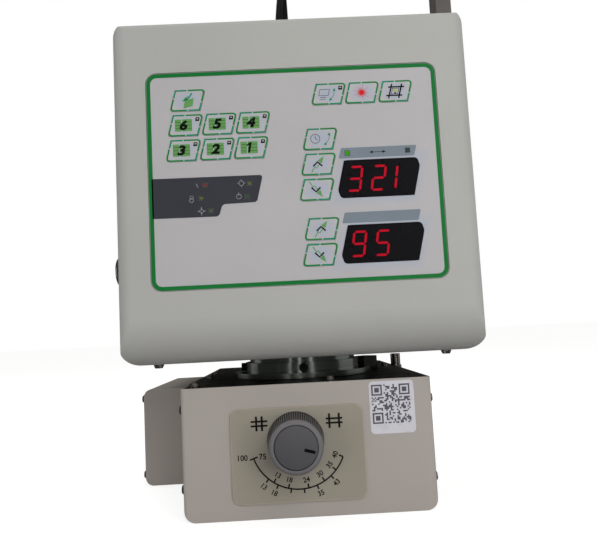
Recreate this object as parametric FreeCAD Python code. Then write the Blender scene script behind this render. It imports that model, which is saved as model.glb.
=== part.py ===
import FreeCAD, Part
import math
import os

# Portable x-ray machine: an x-ray head that stands on its collimator.
# Millimetres. The Z axis is the beam axis, Z 0 is the surface that the collimator stands on,
# X points to the right of a person in front of the controls and Y points away from that person.

V = FreeCAD.Vector

# Head
head_width = 196.0
head_height = 187.0
head_front = 93.0
head_depth = 230.0
head_wall = 3.0
head_edge_round = 8.0
head_foot_round = 24.0
head_brow_round = 3.0

# Control label in its recess, and what is let into it
label_width = 157.8
label_height = 118.6
label_above_foot = 98.5
label_corner = 6.2
label_thickness = 0.8
label_recess = 1.0
label_fit = 0.4
key_width = 16.6
key_height = 12.0
key_slant = 15.0
key_corner = 2.0
key_thickness = 1.0
key_proud = 0.3
key_gap = 0.15
key_travel = 0.4
key_room = 0.3
key_pitch_x = 18.2
key_pitch_z = 13.85
key_row_shift = 1.55
number_keys_x = -58.15
number_keys_z = 29.85
mode_keys_x = 20.1
mode_keys_z = 43.9
step_keys_x = 14.1
step_keys_z = 19.0
volt_keys_x = 12.55
volt_keys_z = -30.1
window_width = label_width * 0.266
window_height = 20.5
window_slant = 13.9
window_corner = 4.5
window_x = label_width * 0.284
window_z = -3.7
window_pitch_z = 35.4
window_rim = 2.2
window_gap = 0.1
led_size = 2.8
led_proud = 0.15

# Status lights and the two bar lights, as shares of the label's width and height
status_lights = (
    (-0.3093, -0.0287), (-0.3245, -0.0885), (-0.1578, -0.0312), (-0.1679, -0.0911),
    (-0.2928, -0.1467))
bar_lights = ((0.18, 0.0894), (0.3872, 0.0902))

# Control board behind the label
board_width = 168.0
board_height = 132.0
board_thickness = 1.6
display_depth = 8.0
display_gap = 0.4
display_margin = 1.0
board_post = 7.0

# Rear cover, switch and screws
cover_thickness = 3.0
cover_fit = 0.3
cover_boss = 9.0
cover_boss_length = 14.0
vent_length = 34.0
vent_width = 3.0
vent_pitch = 8.0
vent_rows = 9
vent_x = 38.0
vent_z = 35.0
screw_head = 5.9
screw_head_height = 2.1
screw_shank = 3.0
screw_length = 8.0
case_screw_length = 5.0
foot_screw_head = 6.3
foot_screw_head_height = 3.4
foot_screw_x = 87.7
foot_screw_front = -40.0
foot_screw_rear = 90.0
switch_width = 27.0
switch_height = 19.0
switch_depth = 12.0
switch_wall = 1.2
switch_flange = 2.0
switch_rim = 2.0
switch_x = -62.0
switch_z = 42.0
rocker_gap = 0.3
rocker_tilt = 9.0

# Chassis, tube tank and boards inside the head
chassis_thickness = 3.0
chassis_front = -66.0
chassis_rear = 118.0
chassis_flange = 18.0
focus_height = 150.0
tank_width = 136.0
tank_front = -52.0
tank_rear = 74.0
tank_height = 96.0
tank_wall = 4.0
tube_radius = 17.0
tube_length = 108.0
tube_glass = 1.6
tube_back = 6.0
tube_saddle = 5.0
anode_radius = 9.0
anode_angle = 16.0
electrode_gap = 9.0
tube_end = 2.0
anode_stem_start = 8.0
anode_bevel = 3.0
cathode_length = 14.0
cathode_stem_start = 10.0
transformer_width = 84.0
transformer_depth = 34.0
transformer_height = 56.0
inverter_width = 128.0
inverter_depth = 110.0
inverter_above_tank = 12.0
inverter_inset = 8.0
inverter_post_inset = 6.0
inverter_post = 6.0
capacitors = 3
capacitor_side = 18.0
capacitor_gap = 4.0
capacitor_rear = 20.0
capacitor_radius = 11.0
capacitor_height = 30.0
sink_width = 60.0
sink_depth = 40.0
sink_height = 26.0
sink_fins = 9
sink_fin = 1.6
sink_base = 4.0
sink_side = 4.0
sink_inset = 14.0

# Beam port and swivel ring
port_bore = 50.0
port_tube = 64.0
port_flange = 84.0
port_collar = 70.0
collar_gap = 4.3
hub_diameter = 75.6
hub_height = 6.0
flange_diameter = 90.4
flange_thickness = 3.3
swivel_gap = 0.5
neck_diameter = 56.0
neck_lip = 60.0
neck_lip_height = 1.4
neck_base = 78.0
neck_base_thickness = 2.0
running_gap = 0.06
axial_gap = 0.3
notch_radius = 1.6
notch_angles = (40.4, 85.4, -4.6, 204.0)
hub_screw_head = 5.5
hub_screw_depth = 3.0

# Round socket on the left wall
socket_y = -67.0
socket_above_foot = 53.4
socket_flange = 19.0
socket_proud = 5.0
socket_body = 14.0
socket_length = 16.0
socket_bore = 9.0
socket_bore_depth = 8.0

# Carrying handle and hook on the top
handle_y = 15.0
handle_span = 112.0
handle_height = 42.0
handle_bar = 10.0
handle_depth = 22.0
handle_corner = 18.0
handle_foot = 26.0
handle_edge = 3.0
hook_x = 90.0
hook_y = -74.0
hook_thickness = 8.7
hook_depth = 14.0
hook_height = 29.0
hook_lip = 7.0
hook_lip_height = 10.4
hook_base = 2.0
hook_base_margin = 3.5
hook_base_depth = 32.0

# Mains lead, laid in a coil behind the machine
cord_diameter = 5.4
gland_x = -5.0
gland_y = 45.0
gland_nut = 17.0
gland_nut_height = 6.0
gland_boot = 12.0
gland_tip = 8.0
gland_length = 34.0
cord_over = (
    (0.0, 0.0, 62.4), (2.8, 7.0, 94.4), (5.5, 31.0, 120.4), (7.0, 67.0, 122.4),
    (8.5, 101.0, 97.4), (10.0, 117.0, 48.4))
cord_behind = (
    (9.0, 35.0, 0.958), (12.5, 41.0, 0.731), (11.0, 44.0, 0.526), (6.0, 45.0, 0.351),
    (8.0, 45.0, 0.205))
cord_turn = 33.0
cord_turn_back = 3.5
cord_turn_height = 28.0
coil_x = 50.0
coil_y = 224.0
coil_radius = 35.0
coil_section = 18.0
coil_height = 20.0
plug_diameter = 34.0
plug_length = 38.0
plug_sleeve = 18.0
plug_shoulder_start = 5.0
plug_shoulder = 16.0
plug_pin = 4.8
plug_pin_length = 19.0
plug_pin_spacing = 19.0
plug_start = 30.0

# Collimator
box_width = 140.0
box_front = 71.0
box_depth = 197.0
box_height = 72.5
plate_thickness = 2.0
front_thickness = 1.5
front_flange = 26.0
front_bend = 2.5
plate_gap = 0.2
case_wall = 1.5
case_floor = 2.5
case_corner = 7.0
ear_length = 8.0
ear_width = 8.0
ear_height = 9.0
ear_reach = 12.0
ear_overlap = 0.5
plate_corner = 3.0
exit_size = 68.0
exit_window_rim = 4.0
exit_window_thickness = 1.5
lamp_box_width = 42.0
lamp_box_front = 20.0
lamp_box_height = 66.0
lamp_box_wall = 1.5
lamp_box_corner = 5.5
side_screw_inset = 10.0
side_screw_low = 16.0
side_screw_high = 60.0
lamp_screw_inset = 6.0
lamp_screw_low = 6.7
lamp_screw_high = 59.0
plate_screw_head = 4.8
plate_screw_head_height = 2.6
plate_screw_left = 7.5
plate_screw_right = 8.6
plate_screw_front = 8.0
plate_screw_middle = 73.0
plate_screw_back = 111.0
plate_screw_rear = 8.0
plate_screw_centre = 14.4
dial_width = 73.6
dial_height = 51.4
dial_thickness = 1.0
dial_x = -6.0
dial_z = 34.2
dial_corner = 5.0

# Pointer barrel and detent block
laser_y = 66.0
laser_diameter = 7.5
laser_top = 80.3
laser_length = 46.0
laser_stand_off = 0.6
laser_collar = 9.0
laser_bracket = 14.0
laser_bracket_low = 12.0
laser_bracket_height = 14.0
laser_collar_drop = 3.0
laser_collar_height = 2.0
laser_lens_rim = 1.5
laser_lens_depth = 2.0
detent_angle = 40.4
detent_reach = 54.0
detent_length = 14.0
detent_width = 13.0
detent_height = 8.4
detent_plunger = 5.0

# Knob
knob_x = -7.0
knob_z = 41.7
knob_skirt = 31.6
knob_skirt_height = 3.0
knob_rim = 28.4
knob_height = 22.0
knob_face = 23.6
knob_face_step = 1.2
knob_flutes = 60
knob_flute_depth = 0.35
knob_lift = 0.4
knob_bore = 14.0
knob_bush = 10.0
spindle_diameter = 6.0
spindle_step = 0.5
bracket_thickness = 3.0
bracket_reach = 6.0
bracket_inner_x = 28.0

# Light path
mirror_width = 46.0
mirror_reach = 22.0
mirror_height = 44.0
mirror_thickness = 2.0
mirror_cheek = 1.5
lamp_distance = 106.0
lamp_radius = 6.0
lamp_base = 22.0
lamp_holder_depth = 14.0
lamp_recess = 2.0
lamp_lead_back = 60.0
lamp_lead_height = 40.0
lamp_lead_hole = 10.0

# Shutters and their drive
tooth_module = 1.0
pinion_teeth = 16
mitre_teeth = 16
gear_width = 4.0
tooth_backlash = 0.24
tooth_addendum = 0.9
tooth_dedendum = 1.2
pressure_angle = 20.0
knob_turn = 148.0
field_half = 30.5
shutter_width = 32.0
shutter_half_length = 33.0
shutter_thickness = 2.0
shutter_gap = 0.2
shelf_thickness = 1.6
shelf_side_gap = 4.0
shelf_front = 56.0
shelf_rear = 60.0
leg_size = 4.0
leg_front_x = 30.0
rail_half_x = 58.0
rail_width = 3.0
rail_gap = 0.3
rack_back = 3.0
rack_arm = 4.0
rack_lead = 6.0
cross_rack_lead = 5.0
cross_rack_run = 3.5
shutter_overlap = 8.0
cross_arm_offset = 16.0
side_rack_y = -62.0
cross_y = -35.0
cross_rack_x = 54.0

# Heights and faces that follow from the sizes above
box_half = box_width / 2
box_y0 = -box_front
box_y1 = box_y0 + box_depth
flange_z = box_height + swivel_gap
hub_z = flange_z + flange_thickness
collar_z = hub_z + hub_height
head_z0 = collar_z + collar_gap
head_z1 = head_z0 + head_height
head_half = head_width / 2
head_y0 = -head_front
head_y1 = head_y0 + head_depth
inner_y0 = head_y0 + head_wall
inner_z0 = head_z0 + head_wall
label_z = head_z0 + label_above_foot
recess_y = head_y0 + label_recess
label_y = recess_y - label_thickness
pinion_radius = tooth_module * pinion_teeth / 2
shutter_travel = pinion_radius * math.radians(knob_turn)


# Shapes that several pieces share

def box(x0, x1, y0, y1, z0, z1):
    return Part.makeBox(x1 - x0, y1 - y0, z1 - z0, V(x0, y0, z0))


def rod(radius, start, direction, length):
    return Part.makeCylinder(radius, length, start, direction)


def fuse(shapes):
    result = shapes[0]
    for shape in shapes[1:]:
        result = result.fuse(shape)
    return result.removeSplitter()


def group(shapes):
    return Part.makeCompound(shapes)


def rounded(points):
    """Closed outline in the plane from corners (u, v, radius)."""
    edges = []
    ends = []
    count = len(points)
    for i in range(count):
        u, v, radius = points[i]
        before = points[i - 1]
        after = points[(i + 1) % count]
        corner = V(u, v, 0)
        to_before = (V(before[0], before[1], 0) - corner).normalize()
        to_after = (V(after[0], after[1], 0) - corner).normalize()
        half = to_before.getAngle(to_after) / 2
        if radius <= 0:
            ends.append((corner, corner))
            continue
        tangent = radius / math.tan(half)
        start = corner + to_before * tangent
        end = corner + to_after * tangent
        bisector = (to_before + to_after).normalize()
        middle = corner + bisector * (radius / math.sin(half) - radius)
        edges.append((i, Part.Arc(start, middle, end).toShape()))
        ends.append((start, end))
    arcs = dict(edges)
    ordered = []
    for i in range(count):
        if i in arcs:
            ordered.append(arcs[i])
        start = ends[i][1]
        end = ends[(i + 1) % count][0]
        if (end - start).Length > 1e-6:
            ordered.append(Part.LineSegment(start, end).toShape())
    return Part.Wire(ordered)


def slab(points, axis, low, high):
    """Prism of an outline: axis Z takes (x, y), axis Y takes (x, z), axis X takes (y, z)."""
    face = Part.Face(rounded(points))
    frames = {
        "Z": FreeCAD.Matrix(1, 0, 0, 0, 0, 1, 0, 0, 0, 0, 1, low),
        "Y": FreeCAD.Matrix(1, 0, 0, 0, 0, 0, -1, high, 0, 1, 0, 0),
        "X": FreeCAD.Matrix(0, 0, 1, low, 1, 0, 0, 0, 0, 1, 0, 0),
    }
    return face.extrude(V(0, 0, high - low)).transformShape(frames[axis], True)


def rectangle(u0, u1, v0, v1, radius):
    return [(u0, v0, radius), (u1, v0, radius), (u1, v1, radius), (u0, v1, radius)]


def leaning(u, v, width, height, slant, radius):
    """Parallelogram whose top right and bottom left corners are rounded."""
    lean = height / 2 * math.tan(math.radians(slant))
    half = width / 2
    return [
        (u - half - lean, v - height / 2, radius),
        (u + half - lean, v - height / 2, 0),
        (u + half + lean, v + height / 2, radius),
        (u - half + lean, v + height / 2, 0),
    ]


def turned(profile, origin, axis):
    """Solid of revolution from (radius, height) points about an axis at the origin."""
    points = [V(r, 0, z) for r, z in profile]
    points.append(points[0])
    solid = Part.Face(Part.makePolygon(points)).revolve(V(0, 0, 0), V(0, 0, 1), 360)
    solid.Placement = FreeCAD.Placement(origin, FreeCAD.Rotation(V(0, 0, 1), axis))
    return solid


def pan_screw(place, outward, length, head=screw_head, height=screw_head_height):
    """Pan-head screw whose head stands on a face at place and whose shank goes inwards."""
    r = head / 2
    profile = [
        (0, -length), (screw_shank / 2, -length), (screw_shank / 2, 0), (r, 0),
        (r, height * 0.45), (r * 0.72, height), (0, height)]
    return turned(profile, place, outward)


def screw_hole(place, outward, depth):
    return rod(screw_shank / 2, place - outward * depth, outward, depth + 1)


# Head housing

def head_form(inset, rear):
    """The head's outer form moved inwards by the inset, up to the rear face."""
    side = [
        (head_y0 + inset, head_z0 + inset, head_foot_round - inset),
        (rear, head_z0 + inset, 0),
        (rear, head_z1 - inset, 0),
        (head_y0 + inset, head_z1 - inset, max(head_brow_round - inset, 0.6)),
    ]
    front = rectangle(
        -head_half + inset, head_half - inset, head_z0 + inset, head_z1 - inset,
        head_edge_round - inset)
    plan = [
        (-head_half + inset, head_y0 + inset, head_edge_round - inset),
        (head_half - inset, head_y0 + inset, head_edge_round - inset),
        (head_half - inset, rear, 0),
        (-head_half + inset, rear, 0),
    ]
    form = slab(side, "X", -head_half + inset, head_half - inset)
    form = form.common(slab(front, "Y", head_y0 + inset, rear))
    return form.common(slab(plan, "Z", head_z0 + inset, head_z1 - inset))


def cover_screw_places():
    inset = head_wall + cover_boss / 2 + 0.5
    xs = (-head_half + inset, head_half - inset)
    zs = (head_z0 + inset, head_z0 + head_height / 2, head_z1 - inset)
    return [V(x, head_y1, z) for x in xs for z in zs]


def foot_screw_places():
    ys = (foot_screw_front, foot_screw_rear)
    return [V(x, y, head_z0) for x in (-foot_screw_x, foot_screw_x) for y in ys]


def board_post_places():
    half_x = board_width / 2 - board_post / 2 - 1
    half_z = board_height / 2 - board_post / 2 - 1
    return [(x, label_z + z) for x in (-half_x, half_x) for z in (-half_z, half_z)]


def key_places():
    """Name of each key and its centre."""
    places = {"key_save": (number_keys_x + key_row_shift, label_z + number_keys_z + key_pitch_z)}
    for row, names in enumerate((("key_6", "key_5", "key_4"), ("key_3", "key_2", "key_1"))):
        for column, name in enumerate(names):
            x = number_keys_x + column * key_pitch_x - row * key_row_shift
            places[name] = (x, label_z + number_keys_z - row * key_pitch_z)
    for column, name in enumerate(("key_display", "key_laser", "key_lamp")):
        places[name] = (mode_keys_x + column * key_pitch_x, label_z + mode_keys_z)
    for row, name in enumerate(("key_units", "key_time_up", "key_time_down")):
        x = step_keys_x - row * key_row_shift
        places[name] = (x, label_z + step_keys_z - row * key_pitch_z)
    for row, name in enumerate(("key_volt_up", "key_volt_down")):
        x = volt_keys_x - row * key_row_shift
        places[name] = (x, label_z + volt_keys_z - row * key_pitch_z)
    return places


def window_places():
    return [(window_x, label_z + window_z), (window_x, label_z + window_z - window_pitch_z)]


def led_places():
    """Status lights on the left, and two lights in the bar over the upper window."""
    return [(label_width * x, label_z + label_height * z) for x, z in status_lights + bar_lights]


def key_outline(x, z, margin):
    return leaning(x, z, key_width + 2 * margin, key_height + 2 * margin, key_slant, key_corner)


def window_outline(x, z, margin):
    return leaning(
        x, z, window_width + 2 * margin, window_height + 2 * margin, window_slant, window_corner)


def make_main_housing():
    cavity = head_form(head_wall, head_y1 + 1)
    shell = head_form(0, head_y1).cut(cavity)
    bosses = []
    for place in cover_screw_places():
        start = place - V(0, cover_thickness + cover_boss_length, 0)
        side = 1 if place.x > 0 else -1
        x_wall = side * (head_half - head_wall / 2)
        x0, x1 = sorted((place.x, x_wall))
        web = box(x0, x1, start.y, start.y + cover_boss_length,
                  place.z - cover_boss / 2, place.z + cover_boss / 2)
        boss = rod(cover_boss / 2, start, V(0, 1, 0), cover_boss_length)
        bosses += [boss, web]
    post_length = board_front() - inner_y0
    for x, z in board_post_places():
        bosses.append(rod(board_post / 2, V(x, inner_y0 - 1, z), V(0, 1, 0), post_length + 1))
    shell = fuse([shell] + bosses)
    recess = slab(
        rectangle(-label_width / 2 - label_fit, label_width / 2 + label_fit,
                  label_z - label_height / 2 - label_fit, label_z + label_height / 2 + label_fit,
                  label_corner), "Y", head_y0 - 1, recess_y)
    holes = [recess]
    for x, z in key_places().values():
        depth = key_travel + key_room
        holes.append(slab(key_outline(x, z, key_gap), "Y", recess_y - 0.5, recess_y + depth))
    for x, z in window_places():
        holes.append(slab(window_outline(x, z, -window_rim), "Y", head_y0, inner_y0 + 1))
    for place in cover_screw_places():
        holes.append(screw_hole(place, V(0, 1, 0), screw_length))
    for place in foot_screw_places():
        holes.append(screw_hole(place, V(0, 0, -1), screw_length))
    holes.append(rod(port_tube / 2, V(0, 0, head_z0 - 1), V(0, 0, 1), head_wall + 2))
    holes.append(rod(socket_body / 2, socket_centre() - V(1, 0, 0), V(1, 0, 0), head_wall + 2))
    holes.append(rod(gland_boot / 2, V(gland_x, gland_y, head_z1 - head_wall - 1), V(0, 0, 1),
                     head_wall + 2))
    return shell.cut(group(holes))


def make_rear_cover():
    inner = head_half - head_wall - cover_fit
    low = head_z0 + head_wall + cover_fit
    high = head_z1 - head_wall - cover_fit
    corner = head_edge_round - head_wall
    plate = slab(rectangle(-inner, inner, low, high, corner), "Y",
                 head_y1 - cover_thickness, head_y1)
    holes = []
    middle = (head_z0 + head_z1) / 2
    for side in (-1, 1):
        for row in range(vent_rows):
            z = middle + vent_z + (row - (vent_rows - 1) / 2) * vent_pitch
            x = side * vent_x
            outline = rectangle(x - vent_length / 2, x + vent_length / 2,
                                z - vent_width / 2, z + vent_width / 2, vent_width * 0.45)
            holes.append(slab(outline, "Y", head_y1 - cover_thickness - 1, head_y1 + 1))
    for place in cover_screw_places():
        holes.append(screw_hole(place, V(0, 1, 0), screw_length))
    x, z = switch_centre()
    holes.append(box(x - switch_width / 2, x + switch_width / 2, head_y1 - cover_thickness - 1,
                     head_y1 + 1, z - switch_height / 2, z + switch_height / 2))
    return plate.cut(group(holes))


def make_housing_screws():
    screws = [pan_screw(place, V(0, 1, 0), screw_length) for place in cover_screw_places()]
    for place in foot_screw_places():
        screws.append(pan_screw(place, V(0, 0, -1), screw_length, foot_screw_head,
                                foot_screw_head_height))
    return group(screws)


# Mains switch

def switch_centre():
    return switch_x, head_z0 + switch_z


def make_switch_frame():
    x, z = switch_centre()
    half_w = switch_width / 2
    half_h = switch_height / 2
    tub = box(x - half_w, x + half_w, head_y1 - switch_depth, head_y1, z - half_h, z + half_h)
    rim = slab(rectangle(x - half_w - switch_rim, x + half_w + switch_rim,
                         z - half_h - switch_rim, z + half_h + switch_rim, 1.5),
               "Y", head_y1, head_y1 + switch_flange)
    hollow = box(x - half_w + switch_wall, x + half_w - switch_wall,
                 head_y1 - switch_depth + switch_wall, head_y1 + switch_flange + 1,
                 z - half_h + switch_wall, z + half_h - switch_wall)
    return fuse([tub, rim]).cut(hollow)


def make_mains_switch():
    """Rocker with two faces that meet in a shallow valley, on a pin through its middle."""
    x, z = switch_centre()
    half_w = switch_width / 2 - switch_wall - rocker_gap
    reach = (switch_height / 2 - switch_wall) * 0.93
    face = head_y1 + switch_flange
    pivot = head_y1
    rise = reach * math.tan(math.radians(rocker_tilt))
    outline = [
        (face - 0.4, z, 0),
        (face - 0.4 + rise, z - reach, 0.6),
        (pivot - 1.5, z - reach, 1.0),
        (pivot - 3.5, z, 2.0),
        (pivot - 1.5, z + reach, 1.0),
        (face - 0.4 + rise, z + reach, 0.6),
    ]
    rocker = slab(outline, "X", x - half_w, x + half_w)
    rocker.rotate(V(x, pivot, z), V(1, 0, 0), rocker_tilt * 0.9)
    return rocker


# Chassis, tank and boards

def tank_z0():
    return inner_z0 + chassis_thickness


def make_chassis_plate():
    half = head_half - head_edge_round
    plate = box(-half, half, chassis_front, chassis_rear, inner_z0, inner_z0 + chassis_thickness)
    flange = box(-half, half, chassis_rear - chassis_thickness, chassis_rear, inner_z0,
                 inner_z0 + chassis_flange)
    hole = rod(port_flange / 2, V(0, 0, inner_z0 - 1), V(0, 0, 1), chassis_thickness + 2)
    holes = [hole]
    for place in foot_screw_places():
        holes.append(screw_hole(place, V(0, 0, -1), screw_length))
    return fuse([plate, flange]).cut(group(holes))


def make_tube_tank():
    half = tank_width / 2
    z0 = tank_z0()
    outer = slab(rectangle(-half, half, tank_front, tank_rear, 8), "Z", z0, z0 + tank_height)
    inner = slab(rectangle(-half + tank_wall, half - tank_wall, tank_front + tank_wall,
                           tank_rear - tank_wall, 8 - tank_wall), "Z",
                 z0 + tank_wall, z0 + tank_height - tank_wall)
    window = rod(port_bore / 2, V(0, 0, z0 - 1), V(0, 0, 1), tank_wall + 2)
    return outer.cut(inner).cut(window)


def tube_axis_start():
    return V(-tube_length / 2, tube_back, focus_height)


def make_xray_tube():
    """Glass envelope with the anode on the left and the cathode on the right, on two saddles."""
    r = tube_radius
    neck = r * 0.55
    length = tube_length
    profile = [
        (0, 0), (neck, 0), (neck, length * 0.1), (r, length * 0.2), (r, length * 0.8),
        (neck, length * 0.9), (neck, length), (0, length),
        (0, length - tube_end), (neck - tube_glass, length - tube_end),
        (neck - tube_glass, length * 0.9),
        (r - tube_glass, length * 0.79), (r - tube_glass, length * 0.21),
        (neck - tube_glass, length * 0.1), (neck - tube_glass, tube_end), (0, tube_end)]
    envelope = turned(profile, tube_axis_start(), V(1, 0, 0))
    along = V(1, 0, 0)
    stem = neck - tube_glass - running_gap
    anode_end = length / 2 - electrode_gap / 2
    anode = fuse([
        rod(stem, tube_axis_start() + along * tube_end, along, length * 0.12),
        rod(anode_radius * 0.6, tube_axis_start() + along * anode_stem_start, along,
            anode_end - anode_stem_start - tube_end),
        rod(anode_radius, tube_axis_start() + along * (length * 0.25), along,
            anode_end - length * 0.25)])
    half = 2 * anode_radius
    face = Part.makeBox(half, 2 * half, 2 * half, V(0, -half, -half))
    face.rotate(V(0, 0, 0), V(0, 1, 0), anode_angle)
    face.translate(tube_axis_start() + along * (anode_end - anode_bevel))
    anode = anode.cut(face)
    cathode_start = length / 2 + electrode_gap / 2
    cathode = fuse([
        rod(anode_radius * 0.8, tube_axis_start() + along * cathode_start, along,
            cathode_length),
        rod(anode_radius * 0.4,
            tube_axis_start() + along * (cathode_start + cathode_stem_start), along,
            length - cathode_start - cathode_stem_start - tube_end)])
    pieces = [envelope, anode, cathode]
    for x in (-length / 2 + tube_saddle, length / 2 - tube_saddle):
        saddle = box(x - tube_saddle / 2, x + tube_saddle / 2, tube_back - neck - tube_saddle,
                     tube_back + neck + tube_saddle, tank_z0() + tank_wall, focus_height)
        start = V(x - tube_saddle, tube_back, focus_height)
        pieces.append(saddle.cut(rod(neck + running_gap, start, V(1, 0, 0), 2 * tube_saddle)))
    return group(pieces)


def make_transformer():
    """Core with two windings on its legs, standing on the tank's floor."""
    z0 = tank_z0() + tank_wall
    y1 = tank_rear - tank_wall - 2
    y0 = y1 - transformer_depth * 0.45
    half = transformer_width / 2
    window = transformer_width * 0.22
    core = box(-half, half, y0, y1, z0, z0 + transformer_height)
    for side in (-1, 1):
        x = side * transformer_width * 0.22
        core = core.cut(box(x - window / 2, x + window / 2, y0 - 1, y1 + 1,
                            z0 + 9, z0 + transformer_height - 9))
    winding = box(-window * 0.85, window * 0.85, y1 - transformer_depth, y1 + 0.8,
                  z0 + 9.5, z0 + transformer_height - 9.5)
    leg = box(-window * 0.5, window * 0.5, y0 - 1, y1 + 2, z0, z0 + transformer_height)
    return group([core, winding.cut(leg).common(box(-half, half, y0 - 9, y1 + 1, z0,
                                                    z0 + transformer_height))])


def inverter_z():
    return tank_z0() + tank_height + inverter_above_tank


def make_power_board():
    """Power board on four posts over the tank, with its capacitors."""
    half = inverter_width / 2
    y0 = tank_front + inverter_inset
    z = inverter_z()
    pieces = [box(-half, half, y0, y0 + inverter_depth, z, z + board_thickness)]
    for x in (-half + inverter_post_inset, half - inverter_post_inset):
        for y in (y0 + inverter_post_inset, y0 + inverter_depth - inverter_post_inset):
            foot = V(x, y, z - inverter_above_tank)
            pieces.append(rod(inverter_post / 2, foot, V(0, 0, 1), inverter_above_tank))
    for i in range(capacitors):
        x = -half + capacitor_side + i * (2 * capacitor_radius + capacitor_gap)
        foot = V(x, y0 + inverter_depth - capacitor_rear, z + board_thickness)
        pieces.append(rod(capacitor_radius, foot, V(0, 0, 1), capacitor_height))
    return pieces


def make_heat_sink():
    z = inverter_z() + board_thickness
    x1 = inverter_width / 2 - sink_side
    x0 = x1 - sink_width
    y0 = tank_front + sink_inset
    pieces = [box(x0, x1, y0, y0 + sink_depth, z, z + sink_base)]
    pitch = (sink_width - sink_fin) / (sink_fins - 1)
    for i in range(sink_fins):
        x = x0 + i * pitch
        pieces.append(box(x, x + sink_fin, y0, y0 + sink_depth, z + sink_base - 0.5,
                          z + sink_height))
    return fuse(pieces)


def board_front():
    return recess_y + display_gap + display_depth


def make_control_board():
    """Board behind the label, with the two display blocks that reach into the front wall."""
    y = board_front()
    half_x = board_width / 2
    half_z = board_height / 2
    board = box(-half_x, half_x, y, y + board_thickness, label_z - half_z, label_z + half_z)
    pieces = [board]
    for x, z in window_places():
        outline = window_outline(x, z, -window_rim - display_margin)
        pieces.append(slab(outline, "Y", y - display_depth, y))
    return group(pieces)


# Label, windows, lights and keys

def make_front_label():
    sheet = slab(rectangle(-label_width / 2, label_width / 2, label_z - label_height / 2,
                           label_z + label_height / 2, label_corner - label_fit),
                 "Y", label_y, recess_y)
    holes = []
    for x, z in key_places().values():
        holes.append(slab(key_outline(x, z, key_gap), "Y", label_y - 1, recess_y + 1))
    for x, z in window_places():
        holes.append(slab(window_outline(x, z, window_gap), "Y", label_y - 1, recess_y + 1))
    half = led_size / 2 + window_gap
    for x, z in led_places():
        holes.append(box(x - half, x + half, label_y - 1, recess_y + 1, z - half, z + half))
    return sheet.cut(group(holes))


def make_display_windows():
    return group([slab(window_outline(x, z, 0), "Y", label_y, recess_y)
                  for x, z in window_places()])


def make_indicator_leds():
    half = led_size / 2
    return group([box(x - half, x + half, label_y - led_proud, recess_y, z - half, z + half)
                  for x, z in led_places()])


def make_key(x, z):
    front = label_y - key_proud
    return slab(key_outline(x, z, 0), "Y", front, front + key_thickness)


# Socket, handle and hook

def socket_centre():
    return V(-head_half, socket_y, head_z0 + socket_above_foot)


def make_switch_socket():
    """Round socket: a domed flange outside, a threaded body through the wall, a nut inside."""
    r = socket_flange / 2
    body = socket_body / 2
    bore = socket_bore / 2
    nut = head_wall + 3.5
    profile = [
        (0, -socket_length), (body, -socket_length), (body, -nut), (r * 0.93, -nut),
        (r * 0.93, -head_wall), (body, -head_wall), (body, 0), (r, 0), (r, socket_proud * 0.45),
        (r * 0.93, socket_proud * 0.75), (r * 0.78, socket_proud), (bore, socket_proud),
        (bore, socket_proud - socket_bore_depth), (0, socket_proud - socket_bore_depth)]
    return turned(profile, socket_centre(), V(-1, 0, 0))


def make_carry_handle():
    """Bow over the head's top, open for the hand, on two broad feet."""
    half = handle_span / 2
    z0 = head_z1
    top = z0 + handle_height
    outer = slab([(-half, z0, 0), (half, z0, 0), (half - 6, top, handle_corner),
                  (-half + 6, top, handle_corner)], "Y",
                 handle_y - handle_depth / 2, handle_y + handle_depth / 2)
    inset = handle_bar
    inner = slab([(-half + inset, z0 - 1, 0), (half - inset, z0 - 1, 0),
                  (half - 6 - inset, top - inset, handle_corner - inset / 2),
                  (-half + 6 + inset, top - inset, handle_corner - inset / 2)], "Y",
                 handle_y - handle_depth, handle_y + handle_depth)
    bow = outer.cut(inner)
    long_edges = [e for e in bow.Edges
                  if abs(e.BoundBox.YLength) < 0.01 and e.BoundBox.ZMax > z0 + 1]
    bow = bow.makeFillet(handle_edge, long_edges)
    feet = []
    for side in (-1, 1):
        x = side * (half - inset / 2)
        feet.append(slab(rectangle(x - handle_foot / 2, x + handle_foot / 2,
                                   handle_y - handle_depth / 2, handle_y + handle_depth / 2, 5),
                         "Z", z0, z0 + 4))
    return fuse([bow] + feet)


def make_switch_hook():
    """Upright with an outward lip on a foot plate, to hang the hand switch on."""
    x0 = hook_x - hook_thickness / 2
    x1 = hook_x + hook_thickness / 2
    y0 = hook_y - hook_depth / 2
    y1 = hook_y + hook_depth / 2
    z0 = head_z1
    top = z0 + hook_height
    upright = slab([(x0, z0, 0), (x1, z0, 0), (x1, top - hook_lip_height - 2.6, 0),
                    (x1 + 2.6, top - hook_lip_height, 0), (x1 + hook_lip, top - 3, 1),
                    (x1 + hook_lip, top, 1), (x0, top, 2)], "Y", y0, y1)
    foot = slab(rectangle(x0 - hook_base_margin, x1 + hook_base_margin, y0 - 3,
                          y0 - 3 + hook_base_depth, 3), "Z", z0, z0 + hook_base)
    return fuse([upright, foot])


# Mains lead

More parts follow.
